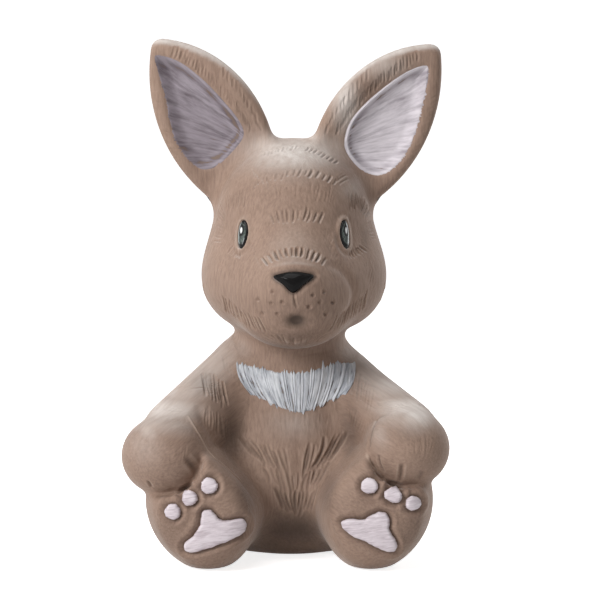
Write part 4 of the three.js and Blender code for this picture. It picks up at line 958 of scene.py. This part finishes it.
for side, name in ((-1, "left_eye"), (1, "right_eye")):
    face = front_face(side * EYE_OUT, EYE_LEVEL, side * EYE_FACING)
    outline = oval(EYE_WIDTH, EYE_HEIGHT)
    outline[:, 0] += side * EYE_SKEW * outline[:, 1]
    seat(face, outline, 0.8, -0.28)
    points, faces, spots = capped(face, outline, np.zeros(2), EYE_PROUD, 1.8)
    piece = mesh_object(name + "_dome", placed(points), *faces)
    across = (spots[:, 0] - side * EYE_SKEW * spots[:, 1]) * 2 / EYE_WIDTH
    upward = spots[:, 1] * 2 / EYE_HEIGHT
    store(piece, "spot", np.stack([across, upward, 0 * across], axis=1))
    dressed(piece, eye_paint, "eye_gloss", name)

# Nose
# A rounded triangle of its own, painted black and varnished, bedded in the tip of the muzzle.

NOSE_LEVEL = HEAD_HEIGHT - 14.2
NOSE_CORNERS = [(-5.8, 0.9), (-3.1, -1.2), (-0.2, -3.5), (3.0, -1.1), (5.7, 1.1), (3.0, 2.1), (0.0, 2.4),
                (-3.0, 2.0)]
NOSE_PROUD = 1.3


def bumped(tree, height, distance, strength, **under):
    """Shading as if the surface rose with a height, laid over another such shading if one is named."""
    return wired(tree, "Bump", {"Height": height, "Distance": distance, "Strength": strength, **under})


nose_paint, tree = new_paint("varnished_black_enamel")
here = wired(tree, "TexCoord", {}, "Object")
wear = noise(tree, here, 900.0, 3.0)
nose_tint = blend(tree, wear, linear("#0b0a0a"), linear("#171515"))
painted(tree, nose_tint, 0.09, 0.08, Normal=bumped(tree, wear, 0.00003, 0.4))
nose_face = front_face(0, NOSE_LEVEL)
nose_outline = through(NOSE_CORNERS, 96, closed=True)
seat(nose_face, nose_outline, 0.8, 0.25)
points, faces, spots = capped(nose_face, nose_outline, np.array([0.0, 0.3]), NOSE_PROUD, 3.4)
dressed(mesh_object("nose_tip", placed(points), *faces), nose_paint, "nose_gloss", "nose")

# Ear linings
# Lilac white paint brushed into the dish of each ear from the inner foot of the ear upwards and outwards,
# thin enough for the bristle marks and some of the brown to show.

LINING_PROUD = 0.12
FAN_FOOT = (-17.0, 12.0)
STREAK_WIDTH = 0.9


def brushed_paint(name, streak, light, dark, brown, thin):
    """Matt paint on brush marks. Streaks are noise stretched along the brush, less a share that each vertex
    keeps for wear, painted shade and painted highlight. The paint is worn through to brown where what is left
    is lowest, by how thin the paint is."""
    paint, tree = new_paint(name)
    brush = stored(tree, "brush", "Vector")
    marks = noise(tree, brush, 1 / streak, 5.0, 0.65)
    broad = noise(tree, brush, 0.25 / streak, 3.0)
    left = wired(tree, "Math", {0: marks, 1: stored(tree, "wear_and_painted_light")}, operation="SUBTRACT")
    cover = blend(tree, ranged(tree, left, 0.3, 0.66), linear(dark), linear(light))
    toned = blend(tree, ranged(tree, broad, 0.42, 0.8), cover, linear(light))
    colour = blend(tree, ranged(tree, left, thin, thin - 0.06), toned, linear(brown))
    painted(tree, colour, 0.7, 0.3, Normal=bumped(tree, marks, 0.00025, 0.4))
    return paint


# Each lining: node, outline, painted highlight on its rail, painted shade low down, and its paints and
# thinness. The left lining's paints are darker than the right's: painted shade, as the left dish lies in
# shade.
LININGS = [
    ("left_ear_lining", LEFT_LINING, -0.16, 0.08, ("#9a9198", "#62585e", "#75645b", 0.3)),
    ("right_ear_lining", RIGHT_LINING, -0.24, 0.0, ("#dfd8dd", "#9c939a", "#85746b", 0.27)),
]
for face, (node, corners, rail_highlight, low_shade, colours) in zip(EAR_FACES, LININGS):
    smooth_outline = outline = through(corners, 720, closed=True)
    along_edge = np.roll(outline, -1, axis=0) - np.roll(outline, 1, axis=0)
    across_edge = np.stack([along_edge[:, 1], -along_edge[:, 0]], axis=1) / np.hypot(*along_edge.T)[:, None]
    away = (outline - FAN_FOOT) / np.linalg.norm(outline - FAN_FOOT, axis=1)[:, None]
    crossing = np.einsum("ij,ij->i", across_edge, away)
    tooth = np.arange(720) / 5 + 0.6 * rng.random(720)
    teeth = (1 - np.abs(tooth % 1 * 2 - 1)) * rng.uniform(0.1, 1.5, 150)[tooth.astype(int)] - 0.5
    outline = outline + across_edge * (teeth * crossing * smooth(-3, 3, outline[:, 0]))[:, None]
    seat(face, outline, 0.5, 0)
    points, faces, spots = capped(face, outline, np.array(LINING_MIDDLE), LINING_PROUD, 0.5, 0.4, 28,
                                  smooth_outline)
    piece = mesh_object(node + "_paint", placed(points), *faces)
    fan = spots - FAN_FOOT
    turn, length = np.arctan2(fan[:, 1], fan[:, 0]), np.linalg.norm(fan, axis=1)
    store(piece, "brush", np.stack([turn * 24, length / 9, np.zeros(len(fan))], axis=1))
    inwards = np.maximum(-outline_distance(spots, smooth_outline), 0)
    inner_side = np.maximum(smooth(2, -4, spots[:, 0]), smooth(27, 23, spots[:, 1]))
    # Along the rail the paint is lightened as painted highlight, with a band of painted shade just inside it
    # where the dish falls away, and the left lining is darkened low down with painted shade
    rail_painted_light = rail_highlight * np.exp(-((inwards - 0.7) / 0.5) ** 2) + 0.22 * np.exp(-((inwards - 2.0) / 0.7) ** 2)
    rail_painted_light -= 0.08 * np.exp(-((inwards - 3.6) / 0.8) ** 2)
    outer_edge = np.exp(-(inwards / 1.6) ** 2) * smooth(0, 4, spots[:, 0])
    low = low_shade * smooth(44, 28, spots[:, 1])
    store(piece, "wear_and_painted_light", rail_painted_light * inner_side + 0.06 * outer_edge + 0.1 * smooth(50, 57, spots[:, 1]) + low)
    dressed(piece, brushed_paint(node + "_brushed_lilac", STREAK_WIDTH, *colours), "ear_paint", node)

# Chest tuft
# A crescent of white paint dabbed over scored hair, strand by strand, from the throat down to a point.

TUFT_TOP = [(-16.6, 56.4), (-12.0, 55.7), (-7.1, 55.0), (-2.7, 54.3), (1.6, 54.1), (6.6, 54.9), (11.0, 56.2),
            (17.6, 56.6)]
TUFT_BOTTOM = [(-12.2, 48.0), (-7.6, 46.4), (-3.6, 44.5), (-0.6, 43.4), (1.6, 42.9), (4.2, 43.5), (7.8, 45.2),
               (14.6, 48.2)]
TUFT_BOW = 1.3
TUFT_STRANDS = 25
TUFT_PROUD = 0.15

columns, rows = 400, 36
u = np.linspace(0, 1, columns)
strand = u * TUFT_STRANDS + 0.45 * np.sin(9 * u * math.pi) + 0.3 * np.sin(23 * u * math.pi + 1)
strand = np.clip(strand, 0, TUFT_STRANDS)
ends = rng.normal(0, 1, (3, TUFT_STRANDS + 2))
spike = 1 - 2 * np.abs(strand % 1 - 0.5)
bristle = 0.5 - np.abs(strand * 3.3 % 1 - 0.5)
index = strand.astype(int)
top_rise = 0.7 * spike * (1 + 0.7 * ends[0][index]) + 0.9 * bristle
top_spots = through(TUFT_TOP, columns) + np.stack([0 * u, top_rise], axis=1)
bottom_drop = 0.6 * spike * (1 + 0.7 * ends[1][index]) + 0.9 * bristle
bottom_spots = through(TUFT_BOTTOM, columns) - np.stack([0 * u, bottom_drop], axis=1)
t = np.linspace(0, 1, rows)[:, None, None]
spots = bottom_spots + t * (top_spots - bottom_spots)
spots[:, :, 0] += TUFT_BOW * 4 * t[:, :, 0] * (1 - t[:, :, 0]) * (2 * u - 1)
spots = spots.transpose(1, 0, 2).reshape(-1, 2)
points, normals = on_surface(FRONT, spots)
near_end = np.minimum(np.tile(np.linspace(0, 1, rows), columns), np.tile(np.linspace(1, 0, rows), columns))
crest = np.repeat(np.sin(math.pi * (strand % 1)) ** 0.7 * (1 + 0.35 * ends[2][index]), rows)
body = smooth(0, 0.08, near_end)
base = relief(points)[0]
heights = (TUFT_PROUD + 0.2 * crest) * body - 0.2 * (1 - body)
upper = points + normals * (base + heights)[:, None]
under = points + normals * (base - 0.5)[:, None]
rings = np.concatenate([upper.reshape(columns, rows, 3), under.reshape(columns, rows, 3)[:, ::-1]], axis=1)
ring_length = 2 * rows
walls = grid_faces(columns, ring_length, closed=True)
side = np.arange(rows - 1)
end_caps = [np.stack([side, side + 1, ring_length - 2 - side, ring_length - 1 - side], axis=1) + start
            for start in (0, (columns - 1) * ring_length)]
end_caps[1] = end_caps[1][:, ::-1]
tuft_points = rings.reshape(-1, 3)
tuft = mesh_object("chest_tuft_paint", placed(tuft_points), *outward(tuft_points, walls, *end_caps))
strand_place = np.repeat(u * TUFT_STRANDS * 0.7, rows)
brush = np.stack([strand_place, np.tile(np.linspace(0, 1.1, rows), columns), 0 * strand_place], axis=1)
brush = np.concatenate([brush.reshape(columns, rows, 3), brush.reshape(columns, rows, 3)[:, ::-1]], axis=1)
store(tuft, "brush", brush.reshape(-1, 3))
thin_strand = 0.14 * (ends[0][index] > -0.3)
valley = thin_strand * (1 - np.sin(math.pi * (strand % 1)) ** 0.5) + 0.05 * (ends[2][index] < -1)
lower_end = np.linspace(1.8, 0.7, rows)
store(tuft, "wear_and_painted_light", np.outer(valley, np.concatenate([lower_end, lower_end[::-1]])).ravel())
tuft_paint = brushed_paint("chest_tuft_brushed_white", 0.42, "#e2e4e8", "#8d919b", "#6d625b", 0.32)
dressed(tuft, tuft_paint, "tuft_paint", "chest_tuft")
tuft_face = front_face(0.8, 50.5)
tuft_centre = np.array([tuft_face["centre"][0], tuft_face["centre"][2]])
seat(tuft_face, np.vstack([bottom_spots, top_spots[::-1]]) - tuft_centre, 0.4, 0)

# Pads under the feet
# Three round toe pads and one pad of three lobes on each sole, low relief in a moat, painted a pale pink
# lilac with a stiff brush.

TOE_PADS = {
    "left": [(-23.7, 25.3, 4.7, 4.6, 0), (-29.2, 21.8, 4.4, 4.3, 0), (-34.0, 17.9, 4.5, 4.5, 0)],
    "right": [(21.2, 25.3, 4.8, 4.5, 0), (27.9, 22.6, 5.2, 4.1, -20), (33.6, 20.2, 4.4, 4.1, -10)],
}
TOE_WORDS = ("inner", "middle", "outer")
SOLE_PADS = {
    "left": (-21.5, 12.8, [
        (-3.8, 5.4), (-1.8, 5.6), (0.6, 3.2), (2.4, 2.6), (7.0, 2.9), (8.2, 1.0), (7.2, -1.2), (3.2, -3.2),
        (-1.4, -4.9), (-6.4, -6.4), (-9.0, -6.1), (-9.2, -4.0), (-6.8, -1.8), (-5.0, 1.0), (-4.4, 3.8)]),
    "right": (21.0, 12.8, [
        (0.8, 4.1), (3.0, 5.1), (5.2, 4.4), (6.0, 2.4), (5.8, 0.2), (7.6, -3.0), (8.0, -5.2), (6.8, -6.4),
        (3.8, -5.8), (-0.8, -3.4), (-4.6, -1.8), (-7.2, 0.4), (-7.6, 2.3), (-5.2, 3.1), (-1.6, 2.9)]),
}
PAD_PROUD, PAD_EDGE = 0.7, 0.9
pad_paint = brushed_paint("pad_brushed_pink_lilac", 0.5, "#e6dce1", "#b9abb1", "#8d7a72", 0.28)


def pad(node, x, z, outline):
    """One pad at its place on a sole, with brush marks that run across it."""
    face = front_face(x, z)
    seat(face, outline, 0.8, 0.65)
    middle = outline.mean(axis=0)
    along = np.cumsum(np.hypot(*np.diff(outline, axis=0, append=outline[:1]).T))
    notch = 0.07 * np.sin(along * 1.3 + x) + 0.06 * np.sin(along * 3.1 + z)
    notch = notch + 0.04 * rng.normal(0, 1, len(along))
    spokes = outline - middle
    outline = outline + spokes / np.linalg.norm(spokes, axis=1)[:, None] * notch[:, None]
    points, faces, spots = capped(face, outline, middle, PAD_PROUD, PAD_EDGE, rows=14)
    piece = mesh_object(node + "_relief", placed(points), *faces)
    brush = [spots[:, 0] * 0.15 + x, spots[:, 1] - 0.12 * spots[:, 0], 0 * spots[:, 0] + z]
    store(piece, "brush", np.stack(brush, axis=1))
    inwards = np.maximum(-outline_distance(spots, outline), 0)
    store(piece, "wear_and_painted_light", 0.07 * np.exp(-(inwards / 0.5) ** 2))
    dressed(piece, pad_paint, "pad_paint", node)


for word, toes in TOE_PADS.items():
    for toe, (x, z, width, height, turn) in zip(TOE_WORDS, toes):
        c, s = math.cos(math.radians(turn)), math.sin(math.radians(turn))
        uneven = 1 + 0.01 * rng.normal(0, 1, (64, 1))
        ring = oval(width, height) @ np.array([[c, s], [-s, c]])
        pad(f"{word}_{toe}_toe_pad", x, z, ring * uneven)
    x, z, corners = SOLE_PADS[word]
    pad(f"{word}_sole_pad", x, z, through(corners, 160, closed=True))

# Base plug
# A turned rubber plug that closes the bore the moulding was emptied through, with its flange in a counterbore
# and an air hole in its middle. The photograph doesn't show it.

PLUG_PROFILE = [(1.0, 4.0), (1.0, 0.7), (1.25, 0.45), (6.9, 0.4), (7.4, 0.55), (7.5, 0.8), (7.5, 1.6),
                (7.3, 1.8), (5.2, 1.8), (5.2, 4.0)]
plug_r, plug_z = np.array(PLUG_PROFILE).T
turn = np.linspace(0, 2 * math.pi, 72, endpoint=False)
plug_points = np.stack([
    TRUNK_ASIDE + np.outer(plug_r, np.cos(turn)), TRUNK_BACK + np.outer(plug_r, np.sin(turn)),
    np.repeat(plug_z[:, None], len(turn), axis=1)], axis=-1).reshape(-1, 3)
ring_faces = grid_faces(len(plug_r) + 1, len(turn), closed=True) % len(plug_points)
plug_paint, tree = new_paint("bare_rubber_plug")
here = wired(tree, "TexCoord", {}, "Object")
grain = noise(tree, here, 1500.0, 3.0)
plug_tint = blend(tree, grain, linear("#857366"), linear("#97857a"))
painted(tree, plug_tint, 0.75, 0.3, Normal=bumped(tree, grain, 0.00005, 0.4))
plug_faces = outward(plug_points, ring_faces)
dressed(mesh_object("base_plug_turned", placed(plug_points), *plug_faces), plug_paint, "plug", "base_plug")

# Skin of the moulding
# The whole figure's outer skin, in four pieces that meet edge to edge over the brow, under the chin and down
# the sides. It is sprayed grey brown with a dark mouth. Painted shade darkens its strokes, moats, creases and
# hollows, and white brushing with painted highlight lies over what faces up.

CELL = 0.6
BROW_CUT = 104
NECK_CUT, NECK_CUT_SLOPE = 63.4, 0.24
BACK_CUT = 2
SKIN_LOW, SKIN_HIGH = (-52, -45, -1.75), (48, 36, 153)
RELIEF_MOST = 1.2


def split(form, points, quads, marked):
    """Marked quads cut in four, with the new corners drawn onto the form. A quad beside them takes in the
    corners on its shared edges and becomes a face of up to eight, kept in a row of eight with -1 for none."""
    edges = np.stack([quads, np.roll(quads, -1, axis=1)], axis=2)
    keys = edges.min(axis=2) * len(points) + edges.max(axis=2)
    halved = np.unique(keys[marked])
    ends = np.stack([halved // len(points), halved % len(points)])
    added = np.concatenate([points[ends].mean(axis=0), points[quads[marked]].mean(axis=1)])
    off, gradient = slope(form, added)
    added -= gradient * (off / np.einsum("ij,ij->i", gradient, gradient))[:, None]
    at = np.minimum(np.searchsorted(halved, keys), len(halved) - 1)
    halfway = np.where(halved[at] == keys, at + len(points), -1)
    centres = len(points) + len(halved) + np.arange(marked.sum())
    old, new = quads[marked], halfway[marked]
    quarters = [np.stack([old[:, k], new[:, k], centres, new[:, k - 1]], axis=1) for k in range(4)]
    beside = ~marked & (halfway >= 0).any(axis=1)
    wide = np.stack([quads[beside], halfway[beside]], axis=2).reshape(-1, 8)
    return np.vstack([points, added]), np.concatenate([quads[~marked & ~beside], *quarters]), wide


smooth_points, quads = skin(hare, SKIN_LOW, SKIN_HIGH, CELL)
smooth_points = evened(hare, smooth_points, quads, 4)
wide_faces = []
for level in (0, 1):
    smooth_normals = vertex_normals(smooth_points, quads)
    _, deep, lip, shaded = relief(smooth_points)
    _, moat_shade, rim_highlight = seat_relief(smooth_points, smooth_normals)
    detail = np.maximum(100 * shaded, 100 * rim_highlight)
    if level == 0:
        detail = np.maximum(detail, 100 * (deep + lip) + 30 * moat_shade)
    marked = (detail > (1, 8)[level])[quads].any(axis=1)
    smooth_points, quads, wide = split(hare, smooth_points, quads, marked)
    wide_faces.append(wide)
wide_faces = np.concatenate(wide_faces)
every_quad = np.concatenate([quads, wide_faces[:, ::2]])
smooth_normals = vertex_normals(smooth_points, every_quad)
raised, deep, lip, shaded = relief(smooth_points)
seat_raised, moat_shade, rim_highlight = seat_relief(smooth_points, smooth_normals)
points = smooth_points + smooth_normals * np.minimum(raised + seat_raised, RELIEF_MOST)[:, None]
normals = vertex_normals(points, every_quad)


def coat_places(points):
    """Where noise is read at points: each part's own place, six times as slow along its coat. The nearest
    part rules, so that the jumps between parts lie in the creases."""
    limbs = [arm(points, **size) for size in ARMS]
    distances = np.stack([np.minimum(trunk(points), head(points)), *limbs])
    nearest = distances.argmin(axis=0)
    places = points * np.array([1, 1, 1 / 6])
    for number, size in enumerate(ARMS, start=1):
        along = np.array([size["side"] * (size["wrist"] - SHOULDER_OUT), WRIST_BACK,
                          WRIST_HEIGHT - CHEST["height"] - size["shoulder"]])
        along = along / np.linalg.norm(along)
        own = nearest == number
        run = points[own] @ along
        places[own] = points[own] - along * (run * 5 / 6)[:, None]
    return places


rubber, tree = new_paint("matt_sprayed_natural_rubber")
coat = stored(tree, "coat", "Vector")
here = wired(tree, "TexCoord", {}, "Object")
warped = noise(tree, coat, 0.25, 2.0, out="Color")
bend = wired(tree, "VectorMath", {0: warped, 1: (1.6, 1.6, 0.4)}, operation="MULTIPLY")
bent_coat = wired(tree, "VectorMath", {0: coat, 1: bend}, operation="ADD")
hairs = noise(tree, bent_coat, 1.5, 5.0, 0.62)
strands = noise(tree, bent_coat, 0.55, 3.0, 0.55)
clouds = noise(tree, here, 70.0, 3.0)
speckle = noise(tree, here, 2600.0, 2.0)
ground = blend(tree, ranged(tree, clouds, 0.35, 0.65), linear("#887163"), linear("#9a8272"))
haired = blend(tree, ranged(tree, hairs, 0.3, 0.7), linear("#7a6254"), linear("#ad9282"))
# White paint streaked along the coat, which also serves as painted highlight on what faces up
white_streaks = ranged(tree, strands, 0.3, 0.7, 0.62)
white_share = wired(tree, "Math", {0: white_streaks, 1: stored(tree, "brushed_white")}, operation="MULTIPLY")
rubber_colour = blend(tree, 0.5, ground, haired)
# Speckle, then painted shade in the scored strokes and painted highlight on their raised lips and on the rims
# round the eyes, then the mouth's dark with painted shade, then white brushing with painted highlight
for share, tint in [(ranged(tree, speckle, 0.62, 0.78, high=0.25), "#6f5d52"),
                    (ranged(tree, stored(tree, "scored"), 0.1, 0.7, high=0.75), "#4c3e35"),
                    (ranged(tree, stored(tree, "lip"), 0.03, 0.16, high=0.4), "#bda797"),
                    (stored(tree, "mouth_spray_and_painted_shade"), "#3c3029"), (white_share, "#e2dad4")]:
    rubber_colour = blend(tree, share, rubber_colour, linear(tint))
coarse_bump = bumped(tree, strands, 0.0003, 0.35)
hair_bump = bumped(tree, hairs, 0.0002, 0.55, Normal=coarse_bump)
fine_bump = bumped(tree, speckle, 0.00004, 0.4, Normal=hair_bump)
painted(tree, rubber_colour, 0.72, 0.3, **{"Normal": fine_bump, "Sheen Weight": 0.28, "Sheen Roughness": 0.35,
                                           "Sheen Tint": linear("#f4efec")})

# White over what faces up, and over the crown and the tops of the ears: dry brushing with painted highlight
white = 0.5 * smooth(0.45, 1.0, normals[:, 2]) * smooth(30, 44, points[:, 2])
white = np.maximum(white, 0.85 * smooth(0.25, 0.8, normals[:, 2]) * smooth(117, 124, points[:, 2]))
# The mouth's sprayed dark, with painted shade in the whisker pits and in the moats round the pads and nose
dark = np.maximum(np.clip(shaded, 0, 1) * 0.9, 0.5 * moat_shade)


def clouded(shares, tones):
    """Shares of paint raised in a soft oval round each tone's place, on what doesn't face back."""
    for x, z, half_width, half_height, strength in tones:
        reach = points - on_surface(FRONT, np.array([[x, z]]))[0]
        cloud = np.exp(-(reach[:, 0] / half_width) ** 2 - (reach[:, 2] / half_height) ** 2
                       - (reach[:, 1] / 12) ** 2)
        shares = np.maximum(shares, strength * cloud * smooth(0.5, 0, normals[:, 1]))
    return shares


white = clouded(white, WHITE_BRUSHING_AND_HIGHLIGHT)
dark = clouded(dark, PAINTED_SHADE)
layers = {"scored": deep, "lip": lip + 0.12 * rim_highlight, "mouth_spray_and_painted_shade": dark, "brushed_white": white,
          "coat": coat_places(smooth_points)}


def skin_piece(name, belongs, hub):
    """Part of the skin, closed by a fan from its open edge to a point inside, with the whole skin's
    normals."""
    rows = wide_faces[belongs(points[wide_faces[:, ::2]].mean(axis=1))]
    sizes = (rows >= 0).sum(axis=1)
    faces = [quads[belongs(points[quads].mean(axis=1))]]
    faces += [rows[sizes == size][rows[sizes == size] >= 0].reshape(-1, size) for size in np.unique(sizes)]
    used = np.unique(np.concatenate([face.ravel() for face in faces]))
    faces = [np.searchsorted(used, face) for face in faces]
    starts = np.concatenate([face.ravel() for face in faces])
    ends = np.concatenate([np.roll(face, -1, axis=1).ravel() for face in faces])
    count = len(used)
    open_edge = ~np.isin(ends * count + starts, starts * count + ends)
    fan = np.stack([ends[open_edge], starts[open_edge], np.full(open_edge.sum(), count)], axis=1)
    piece = mesh_object(name, placed(np.vstack([points[used], hub])), *faces, fan)
    for layer, values in layers.items():
        store(piece, layer, np.concatenate([values[used], values[used[:1]]]))
    dressed(piece, rubber, "moulding", "hollow_moulding")
    piece.data.normals_split_custom_set_from_vertices(np.vstack([normals[used], [0, 0, 1]]))


def above_neck(middles):
    """If faces lie above the slanting line that runs round the throat and the nape."""
    return middles[:, 2] > NECK_CUT + NECK_CUT_SLOPE * middles[:, 1]


skin_piece("moulding_crown", lambda middles: middles[:, 2] > BROW_CUT, (0, 0, 108))
skin_piece("moulding_head", lambda middles: above_neck(middles) & (middles[:, 2] <= BROW_CUT), (0, -1, 66))
skin_piece("moulding_front", lambda middles: ~above_neck(middles) & (middles[:, 1] <= BACK_CUT), (-1, 2, 40))
skin_piece("moulding_back", lambda middles: ~above_neck(middles) & (middles[:, 1] > BACK_CUT), (-1, 2, 40))
